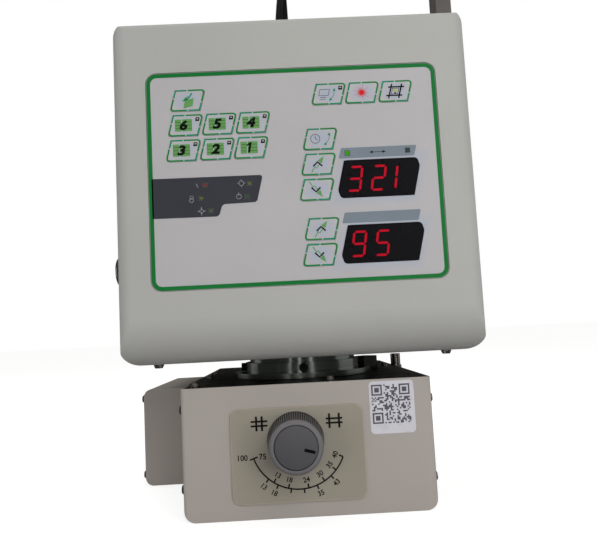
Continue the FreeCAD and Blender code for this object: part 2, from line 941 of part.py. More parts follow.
def make_cord_gland():
    """Hexagonal nut and a tapered boot that ends on the lead, with its thread through the wall."""
    r = gland_nut / 2 / math.cos(math.pi / 6)
    corners = [V(gland_x + r * math.cos(math.pi / 3 * i), gland_y + r * math.sin(math.pi / 3 * i),
                 head_z1) for i in range(7)]
    nut = Part.Face(Part.makePolygon(corners)).extrude(V(0, 0, gland_nut_height))
    boot = gland_boot / 2
    tip = gland_tip / 2
    profile = [
        (0, -head_wall - 4), (boot, -head_wall - 4), (boot, gland_nut_height + 3),
        (boot * 0.86, gland_nut_height + 6), (tip, gland_length), (0, gland_length)]
    body = turned(profile, V(gland_x, gland_y, head_z1), V(0, 0, 1))
    inner_nut = rod(gland_nut / 2, V(gland_x, gland_y, head_z1 - head_wall - 3), V(0, 0, 1), 3)
    return fuse([body, nut, inner_nut])


def cord_route():
    """Hand-laid points of the lead from the gland's tip to the top of the coil.

    cord_over holds how far right of, behind and above the gland each point is. cord_behind holds
    how far right of the gland and behind the head, and the share of the head top's height.
    """
    points = [V(gland_x, gland_y, head_z1 + gland_length)]
    for right, back, above in cord_over:
        points.append(V(gland_x + right, gland_y + back, head_z1 + above))
    for right, back, share in cord_behind:
        points.append(V(gland_x + right, head_y1 + back, head_z1 * share))
    points.append(V(coil_x - cord_turn, coil_y - coil_radius - cord_turn_back, cord_turn_height))
    points.append(V(coil_x, coil_y - coil_radius, coil_height - cord_diameter / 2))
    return points


def tube_along(points, diameter):
    """Round tube of straight runs and tangent arcs; also gives the arc radii and the length."""
    edges = []
    radii = []
    length = 0
    previous = points[0]
    for i in range(1, len(points) - 1):
        before = points[i - 1] - points[i]
        after = points[i + 1] - points[i]
        shorter = min(before.Length, after.Length)
        to_before = V(before).normalize()
        to_after = V(after).normalize()
        turn = math.pi - to_before.getAngle(to_after)
        tangent = 0.45 * shorter
        radius = tangent / math.tan(turn / 2)
        start = points[i] + to_before * tangent
        end = points[i] + to_after * tangent
        bisector = (to_before + to_after).normalize()
        middle = points[i] + bisector * (radius / math.cos(turn / 2) - radius)
        edges.append(Part.LineSegment(previous, start).toShape())
        edges.append(Part.Arc(start, middle, end).toShape())
        length += (start - previous).Length + radius * turn
        radii.append(round(radius, 1))
        previous = end
    edges.append(Part.LineSegment(previous, points[-1]).toShape())
    length += (points[-1] - previous).Length
    path = Part.Wire(edges)
    ring = Part.Wire(Part.makeCircle(diameter / 2, points[0], points[1] - points[0]))
    tube = path.makePipeShell([ring], True, False)
    section = math.pi * diameter ** 2 / 4
    print("radii", radii, "volume over section times length", round(tube.Volume / section / length, 4))
    return tube


def make_mains_cord():
    return tube_along(cord_route(), cord_diameter)


def make_cord_coil():
    """Outer form of the rolled-up lead, lying on the surface."""
    r0 = coil_radius - coil_section / 2
    r1 = coil_radius + coil_section / 2
    corner = cord_diameter / 2
    face = Part.Face(rounded(rectangle(r0, r1, 0, coil_height, corner)))
    upright = face.rotated(V(0, 0, 0), V(1, 0, 0), 90)
    ring = upright.revolve(V(0, 0, 0), V(0, 0, 1), 360)
    ring.translate(V(coil_x, coil_y, 0))
    return ring


def make_mains_plug():
    """Round two-pin plug lying on its side, pins to the left."""
    r = plug_diameter / 2
    sleeve = gland_tip / 2
    profile = [
        (0, 0), (sleeve, 0), (sleeve * 1.5, plug_sleeve),
        (r * 0.75, plug_sleeve + plug_shoulder_start), (r, plug_sleeve + plug_shoulder),
        (r, plug_sleeve + plug_length), (0, plug_sleeve + plug_length)]
    start = V(coil_x - plug_start, coil_y + coil_radius, r)
    body = turned(profile, start, V(-1, 0, 0))
    pins = []
    for side in (-1, 1):
        place = start + V(-plug_sleeve - plug_length, side * plug_pin_spacing / 2, 0)
        pins.append(rod(plug_pin / 2, place - V(plug_pin_length, 0, 0), V(1, 0, 0),
                        plug_pin_length + 5))
    return fuse([body] + pins)


# Beam port and swivel

def make_port_spigot():
    """Tube from the tank's port down into the hub, with a flange on the head's floor."""
    low = hub_z + axial_gap + neck_lip_height + axial_gap
    bore = port_bore / 2
    tube = port_tube / 2
    profile = [
        (bore, low), (tube, low), (tube, collar_z), (port_collar / 2, collar_z),
        (port_collar / 2, head_z0), (tube, head_z0), (tube, inner_z0),
        (port_flange / 2, inner_z0), (port_flange / 2, inner_z0 + chassis_thickness),
        (bore, inner_z0 + chassis_thickness)]
    return turned(profile, V(0, 0, 0), V(0, 0, 1))


def hub_screw_angles():
    return (-90.0, 0.0, 90.0, 180.0)


def radial(angle):
    return V(math.cos(math.radians(angle)), math.sin(math.radians(angle)), 0)


def make_swivel_ring():
    """Hub clamped on the spigot and the notched flange under which the collimator turns."""
    web = neck_diameter / 2 + running_gap
    room = neck_lip / 2 + axial_gap
    shelf = hub_z + axial_gap + neck_lip_height + axial_gap
    profile = [
        (web, flange_z), (flange_diameter / 2, flange_z), (flange_diameter / 2, hub_z),
        (hub_diameter / 2, hub_z), (hub_diameter / 2, collar_z), (port_tube / 2, collar_z),
        (port_tube / 2, shelf), (room, shelf), (room, hub_z), (web, hub_z)]
    ring = turned(profile, V(0, 0, 0), V(0, 0, 1))
    holes = []
    for angle in notch_angles:
        place = radial(angle) * (flange_diameter / 2) + V(0, 0, flange_z - 1)
        holes.append(rod(notch_radius, place, V(0, 0, 1), flange_thickness + 2))
    for angle in hub_screw_angles():
        inner = radial(angle) * (port_tube / 2 - 1) + V(0, 0, (hub_z + collar_z) / 2)
        holes.append(rod(screw_shank / 2, inner, radial(angle), hub_diameter - port_tube))
    return ring.cut(group(holes))


def make_hub_screws():
    """Four radial socket-cap screws whose tips bear on the spigot."""
    screws = []
    for angle in hub_screw_angles():
        out = radial(angle)
        middle = V(0, 0, (hub_z + collar_z) / 2)
        tip = middle + out * (port_tube / 2)
        face = middle + out * (hub_diameter / 2)
        shank = rod(screw_shank / 2, tip, out, hub_diameter / 2 - port_tube / 2)
        head = rod(hub_screw_head / 2, face, out, hub_screw_depth)
        socket = rod(1.25, face + out * 1.4, out, hub_screw_depth)
        screws.append(fuse([shank, head]).cut(socket))
    return group(screws)


def make_swivel_neck():
    """Collimator's neck: a base under the top plate and a lip held inside the hub."""
    bore = port_bore / 2
    neck = neck_diameter / 2
    top = hub_z + axial_gap + neck_lip_height
    under = box_height - plate_thickness
    profile = [
        (bore, under - neck_base_thickness), (neck_base / 2, under - neck_base_thickness),
        (neck_base / 2, under), (neck, under),
        (neck, top - neck_lip_height), (neck_lip / 2, top - neck_lip_height), (neck_lip / 2, top),
        (bore, top)]
    return turned(profile, V(0, 0, 0), V(0, 0, 1))


def make_swivel_detent():
    """Block on the top plate whose sprung plunger points at the flange's notches."""
    out = radial(detent_angle)
    z = box_height
    block = box(0, detent_length, -detent_width / 2, detent_width / 2, 0, detent_height)
    block.translate(V(detent_reach, 0, z))
    block.rotate(V(0, 0, 0), V(0, 0, 1), detent_angle)
    tip = flange_diameter / 2 + axial_gap
    height = V(0, 0, flange_z + flange_thickness / 2 + 1)
    plunger = rod(detent_plunger / 2, out * (tip + 1.5) + height, out, detent_reach - tip)
    nose = Part.makeCone(detent_plunger / 5, detent_plunger / 2, 1.5, out * tip + height, out)
    return fuse([block, plunger, nose])


# Collimator

def box_section(inset, top=box_height - plate_thickness):
    """Front view of the collimator: square at the top, rounded at the bottom."""
    half = box_half - inset
    r = case_corner - inset
    return [(-half, inset, r), (half, inset, r), (half, top, 0), (-half, top, 0)]


def box_inner_half():
    return box_half - front_thickness - case_wall


def exit_frame():
    half = exit_size / 2
    return rectangle(-half, half, -half, half, 4)


def side_screw_places():
    """Screws of the front cover in both side walls."""
    y = box_y0 + side_screw_inset
    return [(V(side * box_half, y, z), V(side, 0, 0))
            for side in (-1, 1) for z in (side_screw_low, side_screw_high)]


def lamp_screw_places():
    y = lamp_box_front + lamp_screw_inset
    return [(V(-box_half - lamp_box_width, y, z), V(-1, 0, 0))
            for z in (lamp_screw_low, lamp_screw_high)]


def plate_screw_places():
    left = -box_half + plate_screw_left
    right = box_half - plate_screw_right
    front = box_y0 + plate_screw_front
    middle = box_y0 + plate_screw_middle
    back = box_y0 + plate_screw_back
    rear = box_y1 - plate_screw_rear
    places = [(left, front), (left, middle), (left, back), (plate_screw_centre, front),
              (right, back), (right, rear)]
    return [(V(x, y, box_height), V(0, 0, 1)) for x, y in places]


def make_collimator_case():
    """Tray with floor, side walls and rear wall, and ears inside for the top plate's screws."""
    y0 = box_y0 + front_thickness
    outer = slab(box_section(front_thickness), "Y", y0, box_y1)
    half = box_inner_half()
    r = case_corner - front_thickness - case_wall
    top = box_height - plate_thickness
    hollow = slab([(-half, front_thickness + case_floor, r), (half, front_thickness + case_floor, r),
                   (half, top + 1, 0), (-half, top + 1, 0)], "Y", y0 - 1, box_y1 - case_wall)
    tray = outer.cut(hollow)
    rear_skin = slab(box_section(0), "Y", y0 + front_flange, box_y1)
    tray = tray.fuse(rear_skin.cut(hollow)).removeSplitter()
    ears = []
    for place, _ in plate_screw_places():
        side = 1 if place.x > 0 else -1
        if abs(place.x) < half - ear_reach:
            continue
        x0, x1 = sorted((side * (half - ear_length), side * (half + ear_overlap)))
        ears.append(box(x0, x1, place.y - ear_width / 2, place.y + ear_width / 2,
                        top - ear_height, top))
    tray = fuse([tray] + ears)
    window = slab(rectangle(-exit_size / 2 - exit_window_rim, exit_size / 2 + exit_window_rim,
                            -exit_size / 2 - exit_window_rim, exit_size / 2 + exit_window_rim, 4),
                  "Z", case_inner_floor() - exit_window_thickness, case_inner_floor() + 1)
    holes = [window, slab(exit_frame(), "Z", -1, case_inner_floor() + 1)]
    for place, out in side_screw_places() + plate_screw_places():
        holes.append(screw_hole(place, out, case_screw_length))
    lead = V(-box_half - 1, lamp_box_front + lamp_lead_back, lamp_lead_height)
    holes.append(rod(lamp_lead_hole / 2, lead, V(1, 0, 0), front_thickness + case_wall + 2))
    return tray.cut(group(holes))


def case_inner_floor():
    return front_thickness + case_floor


def make_exit_window():
    half = exit_size / 2 + exit_window_rim
    z = case_inner_floor()
    return slab(rectangle(-half, half, -half, half, 4), "Z", z - exit_window_thickness, z)


def make_front_cover():
    """Front wall with two side flanges that wrap the tray and the top plate's front end."""
    skin = slab(box_section(0, box_height), "Y", box_y0, box_y0 + front_thickness + front_flange)
    skin = skin.common(slab([(-box_half, box_y0, front_bend), (box_half, box_y0, front_bend),
                             (box_half, box_y1, 0), (-box_half, box_y1, 0)], "Z",
                            -1, box_height + 1))
    room = slab(box_section(front_thickness), "Y", box_y0 + front_thickness, box_y1)
    top = box_height - plate_thickness
    open_top = box(-box_half + front_thickness, box_half - front_thickness,
                   box_y0 + front_thickness, box_y1, top - 1, box_height + 1)
    shell = skin.cut(room).cut(open_top)
    holes = [rod(knob_bush / 2, V(knob_x, box_y0 - 1, knob_z), V(0, 1, 0), front_thickness + 2)]
    for place, out in side_screw_places():
        holes.append(screw_hole(place, out, case_screw_length))
    return shell.cut(group(holes))


def make_top_plate():
    half = box_half
    top = box_height
    narrow = box_half - front_thickness - plate_gap
    front = box_y0 + front_thickness + plate_gap
    shoulder = front + front_flange
    plate = slab([(-narrow, front, plate_corner), (narrow, front, plate_corner),
                  (narrow, shoulder, 0), (half, shoulder, 0), (half, box_y1, plate_corner),
                  (-half, box_y1, plate_corner), (-half, shoulder, 0), (-narrow, shoulder, 0)],
                 "Z", top - plate_thickness, top)
    holes = [rod(neck_diameter / 2, V(0, 0, top - plate_thickness - 1), V(0, 0, 1), 5)]
    for place, out in plate_screw_places():
        holes.append(screw_hole(place, out, case_screw_length))
    return plate.cut(group(holes))


def make_collimator_screws():
    screws = [pan_screw(place, out, case_screw_length)
              for place, out in side_screw_places() + lamp_screw_places()]
    screws += [pan_screw(place, out, case_screw_length, plate_screw_head,
                         plate_screw_head_height) for place, out in plate_screw_places()]
    return group(screws)


def lamp_section(inset):
    x0 = -box_half - lamp_box_width + inset
    x1 = -box_half
    return [(x0, inset, lamp_box_corner - inset), (x1, inset, 0),
            (x1, lamp_box_height - inset, 0),
            (x0, lamp_box_height - inset, lamp_box_corner - inset)]


def make_lamp_box():
    """Box on the collimator's left wall that holds the lamp's supply, open towards the wall."""
    outer = slab(lamp_section(0), "Y", lamp_box_front, box_y1)
    inner = slab(lamp_section(lamp_box_wall), "Y", lamp_box_front + lamp_box_wall,
                 box_y1 - lamp_box_wall)
    holes = [screw_hole(place, out, case_screw_length) for place, out in lamp_screw_places()]
    return outer.cut(inner).cut(group(holes))


def make_dial_plate():
    half = dial_width / 2
    plate = slab(rectangle(dial_x - half, dial_x + half, dial_z - dial_height / 2,
                           dial_z + dial_height / 2, dial_corner), "Y",
                 box_y0 - dial_thickness, box_y0)
    start = V(knob_x, box_y0 - dial_thickness - 1, knob_z)
    return plate.cut(rod(knob_bush / 2, start, V(0, 1, 0), dial_thickness + 2))


def make_laser_pointer():
    """Barrel beside the collimator's right wall, clamped in a bracket under its collar."""
    x = box_half + laser_stand_off + laser_diameter / 2
    low = laser_top - laser_length
    barrel = rod(laser_diameter / 2, V(x, laser_y, low), V(0, 0, 1), laser_length)
    collar = rod(laser_collar / 2, V(x, laser_y, box_height - laser_collar_drop), V(0, 0, 1),
                 laser_collar_height)
    collar = collar.common(box(box_half, x + laser_collar, laser_y - laser_collar,
                               laser_y + laser_collar, low, box_height))
    bracket = slab(rectangle(box_half, x + laser_diameter / 2 + 2, laser_y - laser_bracket / 2,
                             laser_y + laser_bracket / 2, 2), "Z", low + laser_bracket_low,
                   low + laser_bracket_low + laser_bracket_height)
    lens = rod(laser_diameter / 2 - laser_lens_rim, V(x, laser_y, low - 1), V(0, 0, 1),
               laser_lens_depth + 1)
    return fuse([barrel, collar, bracket]).cut(lens)


# Light path

def make_field_mirror():
    """Mirror at 45 degrees between two cheeks that hang from the neck's base."""
    reach = mirror_reach
    t = mirror_thickness / math.sqrt(2)
    outline = [
        (-reach + t, mirror_height - reach - t, 0), (reach + t, mirror_height + reach - t, 0),
        (reach, mirror_height + reach, 0), (-reach, mirror_height - reach, 0)]
    half = mirror_width / 2
    mirror = slab(outline, "X", -half, half)
    top = box_height - plate_thickness - neck_base_thickness
    cheek_outline = [
        (-reach - t, mirror_height - reach - 2 * t, 0), (reach + t, mirror_height + reach - 2 * t, 0),
        (reach + t, top, 0), (-reach - t, top, 0)]
    pieces = [mirror]
    for side in (-1, 1):
        x0, x1 = sorted((side * half, side * (half + mirror_cheek)))
        pieces.append(slab(cheek_outline, "X", x0, x1))
    return group(pieces)


def make_field_lamp():
    """Lamp in its holder behind the mirror, as far from it as the focus is above it."""
    z = mirror_height
    floor = case_inner_floor()
    half = lamp_base / 2
    y = lamp_distance
    front = y - lamp_holder_depth / 2
    holder = box(-half, half, front, front + lamp_holder_depth, floor, z + lamp_base / 2 - 2)
    recess = rod(lamp_radius + 1, V(0, front - 1, z), V(0, 1, 0), lamp_recess + 1)
    bulb = Part.makeSphere(lamp_radius, V(0, front, z)).common(
        box(-half, half, front - lamp_radius, front + lamp_recess, z - half, z + half))
    return group([holder.cut(recess), bulb])


# Shutter shelves, shutters and their racks

def side_shutter_z():
    return case_inner_floor() + shutter_gap


def side_foot_z():
    return side_shutter_z() + shutter_thickness


def shelf_z():
    return side_foot_z() + shutter_thickness + shutter_gap


def cross_shutter_z():
    return shelf_z() + shelf_thickness + shutter_gap


def cross_foot_z():
    return cross_shutter_z() + shutter_thickness


def make_shutter_frame():
    """Shelf on four legs for the cross shutters, and guide rails for both pairs."""
    inner = shutter_half_length + rail_gap
    floor = case_inner_floor()
    z = shelf_z()
    half_x = box_inner_half() - shelf_side_gap
    plate = box(-half_x, half_x, -shelf_front, shelf_rear, z, z + shelf_thickness)
    pieces = [plate.cut(slab(exit_frame(), "Z", z - 1, z + shelf_thickness + 1))]
    rails = []
    for side in (-1, 1):
        a, b = sorted((side * inner, side * (inner + rail_width)))
        rails.append(box(-rail_half_x, rail_half_x, a, b, floor, floor + shutter_thickness))
        pieces.append(box(a, b, -shelf_front, shelf_rear, z + shelf_thickness,
                          z + shelf_thickness + shutter_thickness))
        for x, y in ((leg_front_x, -shelf_front), (half_x - leg_size, shelf_rear - leg_size)):
            x0, x1 = sorted((side * x, side * (x + leg_size)))
            pieces.append(box(x0, x1, y, y + leg_size, floor, z))
    return group([fuse(pieces)] + rails)


def rack_teeth(start, end, up):
    """Rack along +X with its pitch line at height 0 and a tooth gap centred on 0."""
    pitch = math.pi * tooth_module
    slope = math.tan(math.radians(pressure_angle))
    addendum = tooth_module * tooth_addendum
    dedendum = tooth_module * tooth_dedendum
    half = pitch / 4 - tooth_backlash / 2
    way = 1 if up else -1
    outline = [(start, -way * (dedendum + rack_back)), (start, -way * dedendum)]
    first = math.ceil((start + half + dedendum * slope) / pitch - 0.5)
    last = math.floor((end - half - dedendum * slope) / pitch - 0.5)
    for i in range(first, last + 1):
        centre = (i + 0.5) * pitch
        outline += [
            (centre - half - dedendum * slope, -way * dedendum),
            (centre - half + addendum * slope, way * addendum),
            (centre + half - addendum * slope, way * addendum),
            (centre + half + dedendum * slope, -way * dedendum)]
    outline += [(end, -way * dedendum), (end, -way * (dedendum + rack_back))]
    return outline


def rack(axis, centre, start, end, pitch_z, up, low, high):
    points = [(centre + u, pitch_z + v, 0) for u, v in rack_teeth(start, end, up)]
    return slab(points, axis, low, high)


def make_side_shutter(side):
    """Left (-1) or right (+1) shutter with its foot, arm and rack."""
    z = side_shutter_z()
    inner = side * field_half
    outer = side * (field_half + shutter_width)
    x0, x1 = sorted((inner, outer))
    blade = box(x0, x1, -shutter_half_length, shutter_half_length, z, z + shutter_thickness)
    arm_x0, arm_x1 = sorted((outer - side * 2, outer - side * (2 + rack_arm)))
    y0 = side_rack_y - gear_width / 2
    y1 = side_rack_y + gear_width / 2
    foot_z = side_foot_z()
    foot = box(arm_x0, arm_x1, y0, -shutter_half_length + shutter_overlap,
               foot_z, foot_z + shutter_thickness)
    up = side > 0
    way = 1 if up else -1
    pitch_z = knob_z - way * pinion_radius
    if up:
        start = -rack_lead
        end = arm_x1 - knob_x
        top = pitch_z - tooth_module * tooth_dedendum
    else:
        start = arm_x0 - knob_x
        end = rack_lead
        top = pitch_z + tooth_module * tooth_dedendum + rack_back
    teeth = rack("Y", knob_x, start, end, pitch_z, up, y0, y1)
    arm = box(arm_x0, arm_x1, y0, y1, foot_z, top)
    return fuse([blade, foot, arm, teeth])


def make_cross_shutter(side):
    """Front (-1) or rear (+1) shutter with its foot, arm and rack on the right."""
    z = cross_shutter_z()
    inner = side * field_half
    outer = side * (field_half + shutter_width)
    y0, y1 = sorted((inner, outer))
    blade = box(-shutter_half_length, shutter_half_length, y0, y1, z, z + shutter_thickness)
    x0 = cross_rack_x - gear_width / 2
    x1 = cross_rack_x + gear_width / 2
    arm_y0 = side * (field_half + cross_arm_offset) - rack_arm / 2
    arm_y1 = arm_y0 + rack_arm
    foot_z = cross_foot_z()
    foot = box(shutter_half_length - shutter_overlap, x1, arm_y0, arm_y1,
               foot_z, foot_z + shutter_thickness)
    up = side < 0
    if up:
        pitch_z = knob_z - pinion_radius
        start = -shutter_travel - cross_rack_run
        end = cross_rack_lead
        top = pitch_z - tooth_module * tooth_dedendum
    else:
        pitch_z = knob_z + pinion_radius
        start = -cross_rack_lead
        end = arm_y1 - cross_y
        top = pitch_z + tooth_module * tooth_dedendum + rack_back
    teeth = rack("X", cross_y, start, end, pitch_z, up, x0, x1)
    arm = box(x0, x1, arm_y0, arm_y1, foot_z, top)
    return fuse([blade, foot, arm, teeth])


# Knob, spindles and gears

def gear_outline(teeth, phase):
    """Spur gear about the origin with straight-sided teeth; phase in degrees."""
    radius = tooth_module * teeth / 2
    tip = radius + tooth_module * tooth_addendum
    root = radius - tooth_module * tooth_dedendum
    step = 360.0 / teeth
    thick = tooth_module * math.pi / 2 - tooth_backlash
    half_pitch = math.degrees(thick / 2 / radius)
    half_tip = half_pitch * 0.5
    half_root = half_pitch * 1.35
    points = []
    for i in range(teeth):
        a = phase + i * step
        for angle, r in ((a - half_root, root), (a - half_tip, tip), (a + half_tip, tip),
                         (a + half_root, root)):
            points.append((r * math.cos(math.radians(angle)), r * math.sin(math.radians(angle)), 0))
    return points


def mitre_gear(phase):
    """Mitre gear about Z with its pitch cone's point at the origin and its back at -Z."""
    radius = tooth_module * mitre_teeth / 2
    width = gear_width
    sections = []
    inner = (radius - width) / radius
    depth = tooth_module * tooth_dedendum * math.cos(math.pi / 4)
    root = radius - depth
    heel = -radius - depth
    back = turned([(0, heel - 2), (root * 0.8, heel - 2), (root, heel), (root * inner, heel * inner),
                   (0, heel * inner)], V(0, 0, 0), V(0, 0, 1))
    step = 360.0 / mitre_teeth
    thick = tooth_module * math.pi / 2 - tooth_backlash
    half_pitch = math.degrees(thick / 2 / radius)
    teeth = []
    for i in range(mitre_teeth):
        a = phase + i * step
        wires = []
        for scale in (1.0, inner):
            corners = []
            for grow, spread in ((-1.35, 1.4), (0.85, 0.5)):
                r = (radius + grow * tooth_module * math.cos(math.pi / 4)) * scale
                z = (-radius + grow * tooth_module * math.sin(math.pi / 4)) * scale
                corners.append([(r, z, a - half_pitch * spread), (r, z, a + half_pitch * spread)])
            ordered = [corners[0][0], corners[0][1], corners[1][1], corners[1][0], corners[0][0]]
            wires.append(Part.makePolygon([
                V(r * math.cos(math.radians(b)), r * math.sin(math.radians(b)), z)
                for r, z, b in ordered]))
        teeth.append(Part.makeLoft(wires, True, True))
    return fuse([back] + teeth)


def make_field_knob():
    """Fluted knob on a skirt, with a raised face."""
    y = box_y0 - dial_thickness - knob_lift
    skirt = rod(knob_skirt / 2, V(knob_x, y, knob_z), V(0, -1, 0), knob_skirt_height)
    outer = knob_rim / 2
    root = outer - knob_flute_depth
    step = 360.0 / knob_flutes
    points = []
    for i in range(knob_flutes):
        for offset, r in ((-0.30, outer), (0.30, outer), (0.38, root), (0.62, root)):
            a = math.radians((i + offset) * step)
            points.append((knob_x + r * math.cos(a), knob_z + r * math.sin(a), 0))
    grip = slab(points, "Y", y - knob_height, y - knob_skirt_height + 0.5)
    cone_end = rod(outer + 1, V(knob_x, y - knob_height - 1, knob_z), V(0, 1, 0), 3)
    chamfer = Part.makeCone(outer - 1.2, outer + 0.8, 2.0, V(knob_x, y - knob_height, knob_z),
                            V(0, 1, 0))
    grip = grip.cut(cone_end.cut(chamfer))
    face = rod(knob_face / 2, V(knob_x, y - knob_height + 0.5, knob_z), V(0, -1, 0),
               knob_face_step + 0.5)
    bore = rod(spindle_diameter / 2, V(knob_x, y + 1, knob_z), V(0, -1, 0), knob_bore + 1)
    return fuse([skirt, grip, face]).cut(bore)


def make_knob_spindle():
    """Spindle with the pinion between the two side racks and a mitre gear at its end."""
    y0 = box_y0 - dial_thickness - knob_lift - knob_bore
    y1 = cross_y - tooth_module * mitre_teeth / 2
    spindle = rod(spindle_diameter / 2, V(knob_x, y0, knob_z), V(0, 1, 0), y1 - y0)
    pinion = slab([(knob_x + u, knob_z + v, 0) for u, v, _ in gear_outline(pinion_teeth, 90.0)],
                  "Y", side_rack_y - gear_width / 2, side_rack_y + gear_width / 2)
    mitre = mitre_gear(0.0)
    mitre.Placement = FreeCAD.Placement(V(knob_x, cross_y, knob_z),
                                        FreeCAD.Rotation(V(0, 0, 1), V(0, 1, 0)))
    return fuse([spindle, pinion, mitre])


def make_spindle_bush():
    """Flanged bush in the front cover that carries the spindle."""
    bore = spindle_diameter / 2 + running_gap
    outer = knob_bush / 2
    profile = [
        (bore, -dial_thickness + 0.2), (outer, -dial_thickness + 0.2), (outer, front_thickness),
        (outer + 2.5, front_thickness), (outer + 2.5, front_thickness + 3),
        (bore, front_thickness + 3)]
    return turned(profile, V(knob_x, box_y0, knob_z), V(0, 1, 0))


def make_cross_spindle():
    """Spindle across the collimator with a mitre gear and the pinion of the cross racks."""
    radius = tooth_module * mitre_teeth / 2
    x0 = knob_x + radius
    x1 = box_inner_half() - 1
    spindle = rod(spindle_diameter / 2 - spindle_step, V(x0, cross_y, knob_z), V(1, 0, 0), x1 - x0)
    pinion = slab([(cross_y + u, knob_z + v, 0) for u, v, _ in gear_outline(pinion_teeth, 90.0)],
                  "X", cross_rack_x - gear_width / 2, cross_rack_x + gear_width / 2)
    mitre = mitre_gear(180.0 / mitre_teeth)
    mitre.Placement = FreeCAD.Placement(V(knob_x, cross_y, knob_z),
                                        FreeCAD.Rotation(V(0, 0, 1), V(-1, 0, 0)))
    return fuse([spindle, pinion, mitre])


def make_spindle_brackets():
    """Two plates that hang from the top plate and carry the cross spindle."""
    bore = spindle_diameter / 2 - spindle_step + running_gap
    top = box_height - plate_thickness
    pieces = []
    for x in (bracket_inner_x, box_inner_half() - 1 - bracket_thickness):
        hanger = box(x, x + bracket_thickness, cross_y - bracket_reach, cross_y + bracket_reach,
                     knob_z - bracket_reach, top)
        hole = rod(bore, V(x - 1, cross_y, knob_z), V(1, 0, 0), bracket_thickness + 2)
        pieces.append(hanger.cut(hole))
    return pieces


nodes = {
    "main_housing": make_main_housing(),
    "rear_cover": make_rear_cover(),
    "housing_screws": make_housing_screws(),
    "chassis_plate": make_chassis_plate(),
    "tube_tank": make_tube_tank(),
    "xray_tube": make_xray_tube(),
    "hv_transformer": make_transformer(),
    "port_spigot": make_port_spigot(),
    "power_board": group(make_power_board() + [make_heat_sink()]),
    "control_board": make_control_board(),
    "display_windows": make_display_windows(),
    "front_label": make_front_label(),
    "indicator_leds": make_indicator_leds(),
    "switch_frame": make_switch_frame(),
    "mains_switch": make_mains_switch(),
    "hand_switch_socket": make_switch_socket(),
    "carry_handle": make_carry_handle(),
    "switch_hook": make_switch_hook(),
    "cord_gland": make_cord_gland(),
    "mains_cord": make_mains_cord(),
    "cord_coil": make_cord_coil(),
    "mains_plug": make_mains_plug(),
    "swivel_ring": make_swivel_ring(),
    "hub_screws": make_hub_screws(),
    "swivel_neck": make_swivel_neck(),
    "swivel_detent": make_swivel_detent(),
    "collimator_case": make_collimator_case(),
    "collimator_front_cover": make_front_cover(),
    "collimator_top_plate": make_top_plate(),
    "collimator_screws": make_collimator_screws(),
    "exit_window": make_exit_window(),
    "lamp_box": make_lamp_box(),
    "dial_plate": make_dial_plate(),
    "laser_pointer": make_laser_pointer(),
    "field_mirror": make_field_mirror(),
    "field_lamp": make_field_lamp(),
    "shutter_frame": make_shutter_frame(),
    "left_shutter": make_side_shutter(-1),
    "right_shutter": make_side_shutter(1),
    "front_shutter": make_cross_shutter(-1),
    "rear_shutter": make_cross_shutter(1),
    "field_knob": make_field_knob(),
    "knob_spindle": make_knob_spindle(),
    "cross_spindle": make_cross_spindle(),
    "spindle_supports": group([make_spindle_bush()] + make_spindle_brackets()),
}
for name, (x, z) in key_places().items():
    nodes[name] = make_key(x, z)

os.makedirs("parts", exist_ok=True)
for name, shape in nodes.items():
    shape.exportStep("parts/" + name + ".step")
print(len(nodes), "nodes")
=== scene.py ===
import math
import random

import bmesh
import bpy
from mathutils import Matrix, Vector


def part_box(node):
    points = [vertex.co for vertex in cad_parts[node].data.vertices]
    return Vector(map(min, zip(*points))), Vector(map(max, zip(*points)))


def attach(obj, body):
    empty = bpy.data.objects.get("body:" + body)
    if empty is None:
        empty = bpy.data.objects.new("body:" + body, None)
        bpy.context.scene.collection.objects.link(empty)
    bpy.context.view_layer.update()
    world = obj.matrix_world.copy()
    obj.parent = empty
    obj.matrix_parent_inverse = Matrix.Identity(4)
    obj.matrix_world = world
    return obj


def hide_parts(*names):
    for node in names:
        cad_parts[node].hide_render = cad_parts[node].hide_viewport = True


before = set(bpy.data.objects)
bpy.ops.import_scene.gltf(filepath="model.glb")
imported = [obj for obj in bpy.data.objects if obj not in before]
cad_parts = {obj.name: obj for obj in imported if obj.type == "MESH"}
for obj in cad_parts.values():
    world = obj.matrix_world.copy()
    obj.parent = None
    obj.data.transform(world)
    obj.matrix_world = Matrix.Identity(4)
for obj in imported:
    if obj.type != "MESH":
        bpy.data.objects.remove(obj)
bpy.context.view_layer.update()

bl_info = {
    "name": "Portable x-ray machine",
    "version": (1, 0, 0),
    "blender": (4, 5, 0),
    "location": "3D View > Sidebar > X-ray machine",
    "description": "Finishes, printing, lead and studio for a portable x-ray machine",
    "category": "Object",
}

# Pieces are drawn in millimetres and brought to metres when they are kept.
MM = 0.001


def node_box(node):
    """Lowest and highest corner of a solid in millimetres."""
    low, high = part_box(node)
    return low / MM, high / MM


def linear(red, green, blue):
    """A colour as a picture shows it, 0 to 255, as the shader takes it."""
    values = []
    for value in (red, green, blue):
        share = value / 255
        values.append(share / 12.92 if share <= 0.04045 else ((share + 0.055) / 1.055) ** 2.4)
    return tuple(values)


# Finishes

